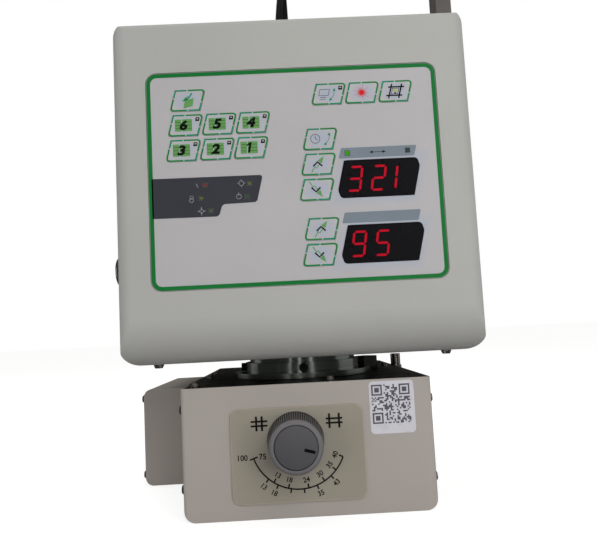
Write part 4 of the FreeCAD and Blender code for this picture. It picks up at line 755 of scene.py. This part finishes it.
class XRAY_OT_mains_lead(bpy.types.Operator):
    """Mains lead from the gland over and behind the head into its coil, with plug and tie"""

    bl_idname = "xray.mains_lead"
    bl_label = "Mains lead"

    def execute(self, context):
        settings = context.scene.xray_lead
        rubber = textured("lead_jacket", linear(22, 22, 24))
        plastic = textured("plug_plastic", linear(24, 24, 26))
        paint_nodes(plastic, "cord_gland", "mains_plug")
        radius = settings.coil_radius
        route = ROUTE + [(17, COIL_CENTRE[1] - radius - 3.5, 30)]
        route += self.turns(radius, settings.diameter + TURN_GAP, settings.coil_points)
        route += TO_THE_PLUG
        curve = bpy.data.curves.new("mains_lead", "CURVE")
        curve.dimensions = "3D"
        curve.bevel_depth = settings.diameter / 2 * MM
        curve.bevel_resolution = 5
        curve.resolution_u = 8
        curve.use_fill_caps = True
        spline = curve.splines.new("NURBS")
        spline.points.add(len(route) - 1)
        for point, place in zip(spline.points, route):
            point.co = (*(Vector(place) * MM), 1)
        spline.order_u = 3
        spline.use_endpoint_u = True
        curve.materials.append(rubber)
        lead = bpy.data.objects.new("mains_lead", curve)
        context.scene.collection.objects.link(lead)
        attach(lead, "head")
        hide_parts("mains_cord", "cord_coil")
        tie = self.tie(radius)
        return {"FINISHED"}

    def turns(self, radius, step, count):
        """Seven and a half turns in three layers, the last one outermost on the floor."""
        layers = ((radius, radius + step), (radius + step, radius, radius - step),
                  (radius - step, radius, radius + step))
        rings = [(reach, FLOOR_HEIGHT + (2 - row) * (step - LAYER_SINK))
                 for row, layer in enumerate(layers) for reach in layer]
        rings.append((radius + step, FLOOR_HEIGHT))
        points = []
        height = FIRST_HEIGHT
        for (reach, z), (following, _) in zip(rings, rings[1:]):
            for i in range(count):
                share = i / count
                shift = max(0.0, share - MOVES_ON) / (1 - MOVES_ON)
                drop = min(1.0, share / DROPPED)
                across = (reach + (following - reach) * shift) * SWING
                points.append((*on_circle(COIL_CENTRE, across, -90 + 360 * share),
                               height + (z - height) * drop))
            height = z
        last = rings[-1][0] * SWING
        return points + [(*on_circle(COIL_CENTRE, last, -90 + 360 * i / count), FLOOR_HEIGHT)
                         for i in range(count // 2)]

    def tie(self, radius):
        """A fabric strap round the coil."""
        bm = bmesh.new()
        outline = oblong(COIL_CENTRE[0] + radius, STRAP_MIDDLE, STRAP_WIDTH, STRAP_HEIGHT)
        loop = ring_frame(outline, COIL_CENTRE[1] - STRAP_BREADTH / 2, STRAP_CLOTH,
                          all_corners(STRAP_CORNER), 5)
        add_raised(bm, loop, -STRAP_BREADTH)
        cloth = textured("strap_cloth", linear(30, 30, 32))
        return keep("coil_strap", bm, [cloth], "head", 50)


# Cases

class XRAY_OT_cases(bpy.types.Operator):
    """Enamel, plastic and metal of the head, the swivel and the collimator"""

    bl_idname = "xray.cases"
    bl_label = "Cases"

    def execute(self, context):
        s = context.scene.xray_case
        paint_nodes(cast_paint("head_enamel", s.head_colour, 0.46), "main_housing", "rear_cover")
        paint_nodes(cast_paint("collimator_enamel", s.collimator_colour, 0.5),
                    "collimator_case", "collimator_front_cover", "lamp_box")
        paint_nodes(textured("black_enamel", s.plate_colour, specular=0.15),
                    "collimator_top_plate")
        paint_nodes(textured("moulded_plastic", s.handle_colour),
                    "carry_handle", "swivel_detent", "switch_frame")
        paint_nodes(textured("hook_plastic", s.hook_colour), "switch_hook")
        paint_nodes(textured("rocker_plastic", linear(20, 20, 22)), "mains_switch")
        paint_nodes(textured("nickel_plate", linear(196, 190, 182), metallic=1.0),
                    "housing_screws", "collimator_screws", "laser_pointer", "hand_switch_socket")
        paint_nodes(turned_metal("turned_aluminium", linear(150, 156, 150), 0.15),
                    "swivel_ring", "swivel_neck", "port_spigot")
        paint_nodes(textured("black_oxide", linear(24, 24, 26), metallic=0.6), "hub_screws")
        return {"FINISHED"}


class XRAY_OT_inner_parts(bpy.types.Operator):
    """Finishes of the parts inside the closed head and collimator"""

    bl_idname = "xray.inner_parts"
    bl_label = "Inner parts"

    def execute(self, context):
        paint_nodes(brushed("sheet_aluminium", linear(198, 200, 202), 0.34, (0.04, 1, 1)),
                    "chassis_plate", "shutter_frame", "tube_tank")
        paint_nodes(brushed("ground_steel", linear(170, 172, 175), 0.3, (1, 0.05, 1)),
                    "left_shutter", "right_shutter", "front_shutter", "rear_shutter",
                    "knob_spindle", "cross_spindle", "hv_transformer")
        paint_nodes(brushed("turned_brass", linear(196, 164, 92), 0.28, (1, 1, 0.08)),
                    "spindle_supports")
        paint_nodes(textured("circuit_board", linear(24, 92, 54)),
                    "power_board", "control_board")
        paint_nodes(see_through("tube_glass", linear(226, 236, 232), 0.04), "xray_tube")
        paint_nodes(see_through("clear_sheet", linear(226, 232, 228), 0.08), "exit_window")
        paint_nodes(textured("silvered_film", linear(225, 226, 228), metallic=1.0),
                    "field_mirror")
        paint_nodes(textured("lamp_holder", linear(110, 110, 112)), "field_lamp")
        return {"FINISHED"}


# Label

WINDOW_HALF = 10.25
BAR_WIDTH, BAR_HEIGHT, BAR_LIFT = 41.0, 5.8, 4.05
LABEL_EDGE, BAND_CORNER, LABEL_INK = 0.1, 5.7, 0.04
BAND, BAR, PANEL, SIGN, LINE = range(5)
PANEL_OUTLINE = [(-77.4, 164.5), (-42.0, 164.3), (-39.9, 170.8), (-21.4, 171.2), (-17.7, 185.9),
                 (-77.4, 186.2)]
# Centres of the signs on the status panel.
WAIT_SIGN, READY_SIGN, LINK_SIGN = (-29.4, 181.8), (-31.0, 174.6), (-51.2, 167.6)


def ink_finish(name, colour):
    """Screen-printed ink: even tone, faint mesh grain, a little more gloss than the film."""
    return textured(name, tuple(colour), "ink", specular=0.25)


def display_windows():
    """Centre and half width of the two display windows, top one first."""
    low, high = node_box("display_windows")
    x, half_width = (low.x + high.x) / 2, (high.x - low.x) / 2
    return [(x, high.z - WINDOW_HALF, half_width), (x, low.z + WINDOW_HALF, half_width)]


class XRAY_OT_label_print(bpy.types.Operator):
    """Band, title bars and status panel printed on the control label"""

    bl_idname = "xray.label_print"
    bl_label = "Label print"

    def execute(self, context):
        s = context.scene.xray_label
        slant = math.degrees(s.slant)
        low, high = node_box("front_label")
        face, top = low.y, low.y - LABEL_INK
        windows = display_windows()
        paint_nodes(label_film("label_film", s.ground, s.key_shade,
                               [(x, z, w - 2.4, WINDOW_HALF) for x, z, w in windows], slant),
                    "front_label")
        bm = bmesh.new()
        outline = oblong((low.x + high.x) / 2, (low.z + high.z) / 2,
                         high.x - low.x - 2 * LABEL_EDGE, high.z - low.z - 2 * LABEL_EDGE)
        add_raised(bm, ring_frame(outline, face, s.band_width, all_corners(BAND_CORNER)),
                   LABEL_INK, BAND)
        for x, z, _ in windows:
            flat(bm, oblong(x, z + WINDOW_HALF + BAR_LIFT, BAR_WIDTH, BAR_HEIGHT, slant), face,
                 LABEL_INK, all_corners(0.6), BAR)
        self.panel(bm, face, top)
        x, z = windows[0][0], windows[0][1] + WINDOW_HALF + BAR_LIFT
        stroke(bm, [(x - 2.8, z), (x + 2.8, z)], 0.3, top, LINE)
        for side in (-1, 1):
            flat(bm, [(x + side * 4.6, z), (x + side * 2.6, z - 0.75), (x + side * 2.6, z + 0.75)],
                 top, 0.03, (), LINE)
        inks = [ink_finish("band_ink", s.band), ink_finish("bar_ink", s.bar),
                ink_finish("panel_ink", s.panel), ink_finish("sign_ink", linear(150, 152, 158)),
                ink_finish("line_ink", s.ink)]
        keep("label_print", bm, inks, "head")
        return {"FINISHED"}

    def panel(self, bm, face, top):
        """Dark status panel with a small sign before each lamp."""
        flat(bm, PANEL_OUTLINE, face, LABEL_INK, [(1, 1.6), (2, 1.6), (3, 1.6), (4, 1.8)], PANEL)
        stroke(bm, [(-53.6, 182.6), (-52.6, 180.4)], 0.35, top, SIGN)
        for centre, radius in (((-56.2, 175.2), 0.9), ((-56.4, 173.6), 1.1), (WAIT_SIGN, 1.3),
                               (READY_SIGN, 1.3)):
            stroke(bm, arc(centre, radius, 0, 345, 16), 0.3, top, SIGN, True)
        for angle in (0, 90, 180, 270):
            self.nub(bm, WAIT_SIGN, angle, 1.4, 2.1, top)
            self.nub(bm, LINK_SIGN, angle, 0.5, 2.3, top)
        self.nub(bm, READY_SIGN, 90, 0.6, 2.2, top)
        stroke(bm, arc(LINK_SIGN, 1.4, 0, 270, 4), 0.3, top, SIGN, True)

    def nub(self, bm, centre, angle, start, end, y):
        stroke(bm, [on_circle(centre, reach, angle) for reach in (start, end)], 0.3, y, SIGN)


TEAL, LEAF, PATCH, BLACK, RED, GREY, PATCH_SHADE, LIME = range(8)
KEY_CORNER, KEY_RIM = 2.0, 0.08
FRAME_TILT = math.radians(8.6)
ROW_PITCH = 1.78


class XRAY_OT_key_print(bpy.types.Operator):
    """Frame and symbol on each key, moving with it"""

    bl_idname = "xray.key_print"
    bl_label = "Key print"

    def execute(self, context):
        s = context.scene.xray_label
        self.slant = s.slant
        inks = [ink_finish("teal_ink", s.teal), ink_finish("leaf_ink", s.leaf),
                ink_finish("patch_ink", s.patch), ink_finish("black_ink", s.ink),
                ink_finish("red_ink", s.red), ink_finish("grey_ink", linear(74, 78, 88)),
                ink_finish("patch_shade_ink", scaled(tuple(s.patch), 0.45)),
                ink_finish("lime_ink", linear(172, 178, 92))]
        for node in sorted(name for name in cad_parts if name.startswith("key_")):
            low, high = node_box(node)
            x, z = (low.x + high.x) / 2, (low.z + high.z) / 2
            paint_nodes(key_film("film_" + node, s.ground, s.key_shade, (x, z),
                                 math.degrees(s.slant)), node)
            bm = bmesh.new()
            self.frame_lines(bm, low, high, s.frame_width, s.frame_gap)
            symbol = node.split("_")[-1]
            if symbol.isdigit():
                self.numeral(bm, x, z, low.y, symbol)
            elif symbol in ("up", "down"):
                self.step_sign(bm, x, z, low.y, 1 if symbol == "up" else -1)
            else:
                getattr(self, symbol)(bm, x, z, low.y)
            keep("print_" + node, bm, inks, node)
        return {"FINISHED"}

    def frame_lines(self, bm, low, high, width, gap):
        """Frame of four L-shaped lines, teal at the sharp corners and green at the round ones."""
        middle = Vector(((low.x + high.x) / 2, low.y, (low.z + high.z) / 2))
        height = high.z - low.z
        reach = (high.x - low.x) / 2 - (height / 2 - KEY_CORNER) * math.tan(self.slant)
        across_middle = 2 * (reach + KEY_CORNER / math.cos(self.slant) - KEY_CORNER)
        outline = oblong(middle.x, middle.z, across_middle - 2 * KEY_RIM, height - 2 * KEY_RIM,
                         math.degrees(self.slant))
        part = ring_frame(outline, low.y, width, [(0, 2.5), (2, 2.5)])
        across, up = Vector((1, 0, 0)), Vector((math.sin(FRAME_TILT), 0, math.cos(FRAME_TILT)))
        for normal in (across, up):
            for side in (-1, 1):
                bmesh.ops.bisect_plane(part, geom=part.verts[:] + part.edges[:] + part.faces[:],
                                       plane_co=middle + normal * side * gap / 2, plane_no=normal)
        lost = []
        for face in part.faces:
            offset = face.calc_center_median() - middle
            u, v = offset.dot(across), offset.dot(up)
            if abs(u) < gap / 2 or abs(v) < gap / 2:
                lost.append(face)
            face.material_index = TEAL if (u < 0) == (v > 0) else LEAF
        bmesh.ops.delete(part, geom=lost, context="FACES")
        add_raised(bm, part, 0.05)

    def lamp_window(self, bm, x, z, y):
        """Small lamp window: a dark frame round a pale field."""
        outline = oblong(x + 6.55, z + 3.2, 2.2, 2.1, 12.0)
        add_raised(bm, ring_frame(outline, y, 0.55, [(2, 0.8), (0, 0.3)], 4), 0.05, BLACK)
        flat(bm, oblong(x + 6.5, z + 2.9, 1.2, 0.35, 12.0), y, 0.05, (), BLACK)

    def numeral(self, bm, x, z, y, symbol):
        """Four green bars with a numeral over them."""
        for place, width in ((x - 4.0, 3.2), (x + 0.9, 5.1)):
            flat(bm, oblong(place, z + 0.05, width, 6.6), y, 0.02, (), PATCH_SHADE)
        for row in range(4):
            place = z + 0.05 + (1.5 - row) * ROW_PITCH
            flat(bm, oblong(x - 4.0, place, 3.5, 1.36), y, 0.03, [(0, 0.5), (3, 0.5)], PATCH, 3)
            flat(bm, oblong(x + 0.9, place, 5.4, 1.36), y, 0.03, [(1, 0.5), (2, 0.5)], PATCH, 3)
        x0, z0 = x - 1.05, z + 0.1
        if symbol == "1":
            outline = [(-0.3, -2.85), (0.95, -2.85), (0.95, 2.85), (0.05, 2.85), (-1.6, 1.65),
                       (-1.6, 0.7), (-0.3, 1.35)]
            flat(bm, [(x0 + u + v * 0.2, z0 + v) for u, v in outline], y - 0.04, 0.04, (), BLACK)
        else:
            number(bm, symbol, (x0, z0), 5.6, y - 0.04, BLACK, 0.2, 0.5, squeeze=1.2)
        self.lamp_window(bm, x, z, y)

    def swap_arrow(self, bm, x, z, y):
        """Curved line with a head at each end."""
        points = [(x - 1.2, z - 2.5), (x - 0.1, z - 1.2), (x + 0.6, z + 0.2), (x + 0.7, z + 1.8)]
        for line in (points, points[::-1]):
            stroke(bm, line, 0.32, y, TEAL)
            before, end = (Vector(point) for point in line[-2:])
            along = (end - before).normalized() * 1.7
            side = Vector((-along.y, along.x)) * 0.5
            flat(bm, [tuple(end + along), tuple(end + side), tuple(end - side)], y, 0.05, (), TEAL)

    def save(self, bm, x, z, y):
        """Box with a tick."""
        flat(bm, [(x - 2.4, z - 4.5), (x + 2.7, z - 3.3), (x + 3.4, z + 1.2), (x - 1.5, z - 0.2)],
             y, 0.04, (), PATCH)
        flat(bm, [(x - 2.9, z - 0.6), (x - 1.4, z - 0.3), (x + 0.7, z + 0.4), (x - 0.7, z + 2.0)],
             y, 0.04, (), LEAF)
        stroke(bm, [(x + 0.1, z + 2.3), (x + 0.8, z + 1.2), (x + 2.3, z + 3.9)], 1.1, y, TEAL)

    def display(self, bm, x, z, y):
        """Screen with a swap arrow."""
        stroke(bm, oblong(x - 2.4, z + 0.9, 5.2, 3.4, math.degrees(self.slant)), 0.5, y, GREY,
               True)
        stroke(bm, [(x - 4.6, z - 1.9), (x - 1.4, z - 1.9)], 0.4, y, GREY)
        stroke(bm, [(x - 4.9, z - 3.0), (x - 1.9, z - 3.0)], 0.3, y, GREY)
        self.swap_arrow(bm, x + 2.4, z - 0.2, y)
        self.lamp_window(bm, x, z, y)

    def laser(self, bm, x, z, y):
        """Red burst."""
        outline = []
        for i in range(36):
            reach = (5.2, 1.3, 3.7, 1.3)[i % 4] * (1.0 if i % 3 else 0.82)
            u, v = on_circle((0.0, 0.0), reach, i * 10)
            outline.append((x - 0.2 + u, z + v * 0.95))
        flat(bm, outline, y, 0.04, (), RED)
        flat(bm, arc((x - 0.2, z), 1.35, 0, 345, 24), y - 0.04, 0.03, (), RED)

    def lamp(self, bm, x, z, y):
        """Crossed frame lines with a bulb between them."""
        lean = math.tan(self.slant)
        for side in (-1, 1):
            for line, width, reach in ((2.5, 0.9, 4.0), (1.6, 0.3, 1.8)):
                u, v = side * line * 1.1, side * line * 0.95
                shift = side * line * lean
                stroke(bm, [(x - reach * 1.1 + shift, z + v), (x + reach * 1.1 + shift, z + v)],
                       width, y, BLACK)
                stroke(bm, [(x + u - reach * lean, z - reach), (x + u + reach * lean, z + reach)],
                       width, y, BLACK)
        flat(bm, arc((x + 0.1, z + 0.35), 0.95, 0, 345, 20), y - 0.02, 0.05, (), LIME)
        flat(bm, oblong(x - 0.05, z - 0.95, 0.8, 0.9), y - 0.02, 0.05, (), BLACK)

    def units(self, bm, x, z, y):
        """Clock face with a swap arrow."""
        stroke(bm, arc((x - 2.6, z + 0.2), 2.5, 0, 345, 24), 0.4, y, GREY, True)
        stroke(bm, [(x - 2.6, z + 2.0), (x - 2.6, z + 0.2), (x - 1.3, z - 0.4)], 0.4, y, GREY)
        self.swap_arrow(bm, x + 4.3, z, y)

    def step_sign(self, bm, x, z, y, way):
        """Slanted green arrow and a black chevron that points the same way, up or down."""
        points = [(x - 3.9, z - 4.4 * way), (x - 2.1, z - 1.5 * way), (x - 1.2, z - 2.1 * way),
                  (x + 1.3, z + 1.4 * way)]
        stroke(bm, points, 0.75, y, PATCH)
        flat(bm, [(x + 3.0, z + 4.3 * way), (x - 0.5, z + 1.9 * way), (x + 1.8, z + 0.4 * way)],
             y, 0.04, (), PATCH)
        stroke(bm, [(x - 2.9, z - 1.1 * way), (x - 0.5, z + 1.2 * way), (x + 1.9, z - 1.1 * way)],
               1.0, y - 0.05, BLACK)


# Place, colour and whether it is lit, for each indicator light.
LIGHTS = (((-48.8, 181.7), (122, 34, 44), False), ((-51.2, 174.6), (96, 94, 46), False),
          ((-24.9, 181.4), (100, 98, 50), False), ((-26.5, 174.3), (34, 74, 48), False),
          ((-46.2, 167.7), (84, 82, 52), False), ((28.4, 195.7), (50, 130, 14), True),
          ((61.1, 195.8), (44, 54, 58), False))
LARGE_LIGHT, SMALL_LIGHT, LARGE_FROM = 2.3, 1.5, 190.0


class XRAY_OT_displays(bpy.types.Operator):
    """Windows, seven-segment digits and status lamps"""

    bl_idname = "xray.displays"
    bl_label = "Displays"

    # Lit segments of each digit, from the left; the numeral one uses the left bars.
    DIGITS = (("time_digits", ("abcdg", "abdeg", "ef")), ("volt_digits", ("abcdfg", "acdfg", "")))

    def execute(self, context):
        s = context.scene.xray_display
        smoked = textured("smoked_window", s.window, specular=0.1)
        paint_nodes(smoked, "display_windows")
        paint_nodes(textured("lamp_lens", linear(60, 66, 60)), "indicator_leds")
        lit = glowing("lit_segment", tuple(s.lit), 0.14)
        y = node_box("display_windows")[0].y
        frames = bmesh.new()
        for (name, digits), (x, z, _) in zip(self.DIGITS, display_windows()):
            bm = bmesh.new()
            for place, segments in enumerate(digits):
                self.digit(bm, s, x + (place - 1) * s.digit_pitch - 0.2, z, y, segments)
            keep(name, bm, [lit], "head")
            outline = oblong(x, z, s.window_width, 2 * WINDOW_HALF + 0.3, 15.0)
            add_raised(frames, ring_frame(outline, y, 1.5, [(0, 3.4), (2, 3.4)]), 0.03, 0)
        keep("window_frames", frames, [smoked], "head")
        self.lights()
        return {"FINISHED"}

    def digit(self, bm, s, x, z, y, segments):
        """Bars with pointed ends."""
        w = s.digit_width / 2 - s.bar_width / 2
        h = s.digit_height / 2 - s.bar_width / 2
        bars = {"a": ((-w, h), (w, h)), "g": ((-w, 0), (w, 0)), "d": ((-w, -h), (w, -h)),
                "f": ((-w, 0), (-w, h)), "b": ((w, 0), (w, h)), "e": ((-w, -h), (-w, 0)),
                "c": ((w, -h), (w, 0))}
        lean = math.tan(s.digit_slant)
        half = s.bar_width / 2
        for name, ends in bars.items():
            if name not in segments:
                continue
            start, end = (Vector(point) for point in ends)
            along = (end - start).normalized()
            side = Vector((-along.y, along.x))
            a, b = start + along * 0.26, end - along * 0.26
            corners = [a, a + along * half + side * half, b - along * half + side * half, b,
                       b - along * half - side * half, a + along * half - side * half]
            flat(bm, [(x + c.x + c.y * lean, z + c.y) for c in corners], y)

    def lights(self):
        y = node_box("indicator_leds")[0].y
        materials = []
        bm = bmesh.new()
        for count, (place, colour, lit) in enumerate(LIGHTS):
            if lit:
                materials.append(glowing("lens_lit", linear(*colour), 0.45))
            else:
                materials.append(textured("lens_%d" % count, linear(*colour), "dark_lens"))
            size = LARGE_LIGHT if place[1] > LARGE_FROM else SMALL_LIGHT
            flat(bm, oblong(*place, size, size, 6), y, 0.05, all_corners(0.3), count, 3)
        keep("status_lenses", bm, materials, "head")


# Dial and knob

DIAL_CENTRE = (-5.75, 41.7)
SCALE_START, SCALE_END = -160.7, -22.7
OUTER_TICKS = (-130.4, -117.1, -100.7, -85.3, -69.4, -49.5)
INNER_TICKS = (-123.1, -104.2, -79.7, -59.2, -40.4, SCALE_END)
OUTER_NUMBERS = (("13", -129.5), ("18", -116.9), ("35", -68.9), ("43", -50.1))
INNER_NUMBERS = (("13", -122.8), ("18", -104.7), ("24", -80.6), ("30", -59.2), ("35", -40.4),
                 ("40", -24.0))


class XRAY_OT_dial_print(bpy.types.Operator):
    """Field-size scale and frame signs printed on the dial plate"""

    bl_idname = "xray.dial_print"
    bl_label = "Dial print"

    def execute(self, context):
        s = context.scene.xray_dial
        low, high = node_box("dial_plate")
        y, radius = low.y, s.radius
        paint_nodes(textured("dial_film", s.film, specular=0.4), "dial_plate")
        bm = bmesh.new()
        stroke(bm, arc(DIAL_CENTRE, radius, SCALE_START, SCALE_END, 48), s.line, y)
        ticks = [(angle, radius, radius + 2.3) for angle in OUTER_TICKS]
        ticks += [(angle, radius - 2.4, radius) for angle in INNER_TICKS]
        for angle, start, end in ticks + [(SCALE_START, radius - 2.4, radius + 2.2)]:
            stroke(bm, [on_circle(DIAL_CENTRE, reach, angle) for reach in (start, end)], s.tick, y)
        for reach, numbers in ((radius + 4.7, OUTER_NUMBERS), (radius - 4.6, INNER_NUMBERS)):
            for text, angle in numbers:
                number(bm, text, on_circle(DIAL_CENTRE, reach, angle), 2.9, y, 0, 0.0, 0.24,
                       angle + 90, 0.95)
        for text, place in (("100", (-36.5, 33.6)), ("75", (-25.6, 33.8))):
            number(bm, text, place, 3.15, y, 0, 0.0, 0.2, 0.0, 0.96)
        for place, half in (((-26.8, 51.6), 1.55), ((14.7, 51.3), 2.7)):
            self.field_sign(bm, place, half, y, s.sign_line)
        outline = oblong((low.x + high.x) / 2, (low.z + high.z) / 2, high.x - low.x - 0.2,
                         high.z - low.z - 0.2)
        add_raised(bm, ring_frame(outline, y, 0.35, all_corners(5.0)), 0.03, 1)
        inks = [ink_finish("dial_ink", s.ink), ink_finish("dial_edge_ink", s.edge)]
        keep("dial_print", bm, inks, "collimator")
        return {"FINISHED"}

    def field_sign(self, bm, centre, half, y, width):
        """Four crossed lines round a small or a large field."""
        x, z = centre
        for side in (-1, 1):
            stroke(bm, [(x - 4.6, z + side * 1.2), (x + 4.6, z + side * 1.2)], width, y)
            stroke(bm, [(x + side * half, z - 4.0), (x + side * half, z + 4.0)], width, y)


# Radius and height over the plate of the knob's outline, from its foot to the middle of its cap.
KNOB_PROFILE = [(15.75, 0.0), (15.75, 0.3), (15.6, 0.5), (15.2, 6.0), (14.8, 12.0), (14.45, 18.0),
                (14.2, 20.4), (13.9, 21.1), (13.5, 21.5), (12.9, 21.8), (12.2, 21.95),
                (11.65, 21.95), (11.5, 21.6), (11.3, 21.6), (11.1, 22.0), (10.8, 22.15),
                (0.0, 22.2)]
STEPS_PER_RIB = 6
RIB_FOOT, RIB_HEAD, SHADE_HEAD = 0.4, 20.5, 20.0
CAP_RADIUS, GROOVE_RADIUS = 11.2, 11.6
POINTER_ANGLE = math.radians(-16)
POINTER_START, POINTER_END, POINTER_HALF = 4.4, 10.1, 0.8
POINTER_FOOT, POINTER_INK = 22.14, 0.12


class XRAY_OT_knob(bpy.types.Operator):
    """Fluted field-size knob with its pointer"""

    bl_idname = "xray.knob"
    bl_label = "Knob"

    def execute(self, context):
        s = context.scene.xray_knob
        low, high = node_box("field_knob")
        x, z, back = (low.x + high.x) / 2, (low.z + high.z) / 2, high.y
        bm = bmesh.new()
        verts = [bm.verts.new((x + reach, back - out, z)) for reach, out in KNOB_PROFILE]
        edges = [bm.edges.new(pair) for pair in zip(verts, verts[1:])]
        bmesh.ops.spin(bm, geom=verts + edges, cent=(x, back, z), axis=(0, 1, 0),
                       angle=math.tau, steps=s.ribs * STEPS_PER_RIB, use_merge=True)
        bmesh.ops.remove_doubles(bm, verts=bm.verts, dist=1e-4)
        for vert in bm.verts:
            out = back - vert.co.y
            if RIB_FOOT < out < RIB_HEAD:
                angle = math.atan2(vert.co.z - z, vert.co.x - x)
                fade = min(1.0, (RIB_HEAD + 0.1 - out) / 2)
                dip = s.rib_depth * (0.5 - 0.5 * math.cos(angle * s.ribs)) * fade
                vert.co.x -= math.cos(angle) * dip
                vert.co.z -= math.sin(angle) * dip
        bmesh.ops.holes_fill(bm, edges=[edge for edge in bm.edges if edge.is_boundary])
        # The cap gets the second plastic. Faces between the ribs and in the ring round the cap get
        # the third, darker plastic, which is painted shade in the recesses.
        for face in bm.faces:
            middle = face.calc_center_median()
            reach = math.hypot(middle.x - x, middle.z - z)
            turn = math.atan2(middle.z - z, middle.x - x)
            between = (RIB_FOOT < back - middle.y < SHADE_HEAD
                       and math.cos(turn * s.ribs) < 0.1)
            if reach < CAP_RADIUS:
                face.material_index = 1
            elif CAP_RADIUS < reach < GROOVE_RADIUS or between:
                face.material_index = 2
        bmesh.ops.recalc_face_normals(bm, faces=bm.faces)
        plastics = [textured("knob_plastic", s.side), textured("knob_face", s.face),
                    textured("knob_groove", s.painted_rib_shade)]
        knob = keep("ribbed_knob", bm, plastics, "knob", 40)
        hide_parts("field_knob")
        bm = bmesh.new()
        along = Vector((math.cos(POINTER_ANGLE), math.sin(POINTER_ANGLE)))
        side = Vector((-along.y, along.x)) * POINTER_HALF
        start, end = (Vector((x, z)) + along * reach for reach in (POINTER_START, POINTER_END))
        flat(bm, [tuple(corner) for corner in (start - side, end - side, end + side, start + side)],
             back - POINTER_FOOT, POINTER_INK)
        keep("knob_pointer", bm, [ink_finish("pointer_ink", s.pointer)], "knob")
        return {"FINISHED"}


# Sticker

STICKER_MIDDLE = (47.5, 56.9)
PATTERN_CORNER = (36.3, 69.4)
CELLS, MARKER_CELLS = 25, 7
DARK_SHARE = 0.46
PAPER, SQUARE_INK = 0.09, 0.02


class XRAY_OT_service_sticker(bpy.types.Operator):
    """White sticker with a made-up pattern of squares"""

    bl_idname = "xray.service_sticker"
    bl_label = "Sticker"

    def execute(self, context):
        s = context.scene.xray_sticker
        y = node_box("collimator_front_cover")[0].y
        paper = textured("sticker_paper", s.paper)
        bm = bmesh.new()
        flat(bm, oblong(*STICKER_MIDDLE, s.width, s.height), y, PAPER, all_corners(2.2))
        top = y - PAPER
        pitch = s.pattern / CELLS
        left, upper = PATTERN_CORNER
        draw = random.Random(11)
        taken = set()
        for column, row in ((0, 0), (18, 0), (0, 18)):
            x, z = left + (column + 3.5) * pitch, upper - (row + 3.5) * pitch
            marker = oblong(x, z, MARKER_CELLS * pitch, MARKER_CELLS * pitch)
            add_raised(bm, ring_frame(marker, top, pitch), SQUARE_INK, 1)
            flat(bm, oblong(x, z, 3 * pitch, 3 * pitch), top, SQUARE_INK, (), 1)
            taken |= {(column + i, row + j) for i in range(-1, 8) for j in range(-1, 8)}
        for row in range(CELLS):
            start = None
            for column in range(CELLS + 1):
                dark = (column < CELLS and (column, row) not in taken
                        and draw.random() < DARK_SHARE)
                if dark and start is None:
                    start = column
                if not dark and start is not None:
                    width = (column - start) * pitch
                    x = left + start * pitch + width / 2
                    flat(bm, oblong(x, upper - (row + 0.5) * pitch, width, pitch * 0.98), top,
                         SQUARE_INK, (), 1)
                    start = None
        inks = [paper, ink_finish("sticker_ink", s.ink)]
        keep("service_sticker", bm, inks, "collimator")
        return {"FINISHED"}


class XRAY_PT_machine(bpy.types.Panel):
    """Lists the pieces and their settings"""

    bl_idname = "XRAY_PT_machine"
    bl_label = "X-ray machine"
    bl_space_type = "VIEW_3D"
    bl_region_type = "UI"
    bl_category = "X-ray machine"

    def draw(self, context):
        for operator in OPERATORS:
            self.layout.operator(operator.bl_idname)
        for name, group in SETTINGS.items():
            box = self.layout.box()
            for prop in group.__annotations__:
                box.prop(getattr(context.scene, name), prop)


OPERATORS = (XRAY_OT_studio, XRAY_OT_mains_lead, XRAY_OT_cases, XRAY_OT_inner_parts,
             XRAY_OT_label_print, XRAY_OT_key_print, XRAY_OT_displays, XRAY_OT_dial_print,
             XRAY_OT_knob, XRAY_OT_service_sticker)
SETTINGS = {"xray_studio": StudioSettings, "xray_lead": LeadSettings, "xray_case": CaseSettings,
            "xray_label": LabelSettings, "xray_display": DisplaySettings,
            "xray_dial": DialSettings, "xray_knob": KnobSettings,
            "xray_sticker": StickerSettings}


def register():
    for name, group in SETTINGS.items():
        bpy.utils.register_class(group)
        setattr(bpy.types.Scene, name, bpy.props.PointerProperty(type=group))
    for operator in OPERATORS:
        bpy.utils.register_class(operator)
    bpy.utils.register_class(XRAY_PT_machine)


def unregister():
    bpy.utils.unregister_class(XRAY_PT_machine)
    for operator in reversed(OPERATORS):
        bpy.utils.unregister_class(operator)
    for name, group in SETTINGS.items():
        delattr(bpy.types.Scene, name)
        bpy.utils.unregister_class(group)


def main():
    register()
    for operator in OPERATORS:
        group, name = operator.bl_idname.split(".")
        getattr(getattr(bpy.ops, group), name)()


if __name__ == "__main__":
    main()
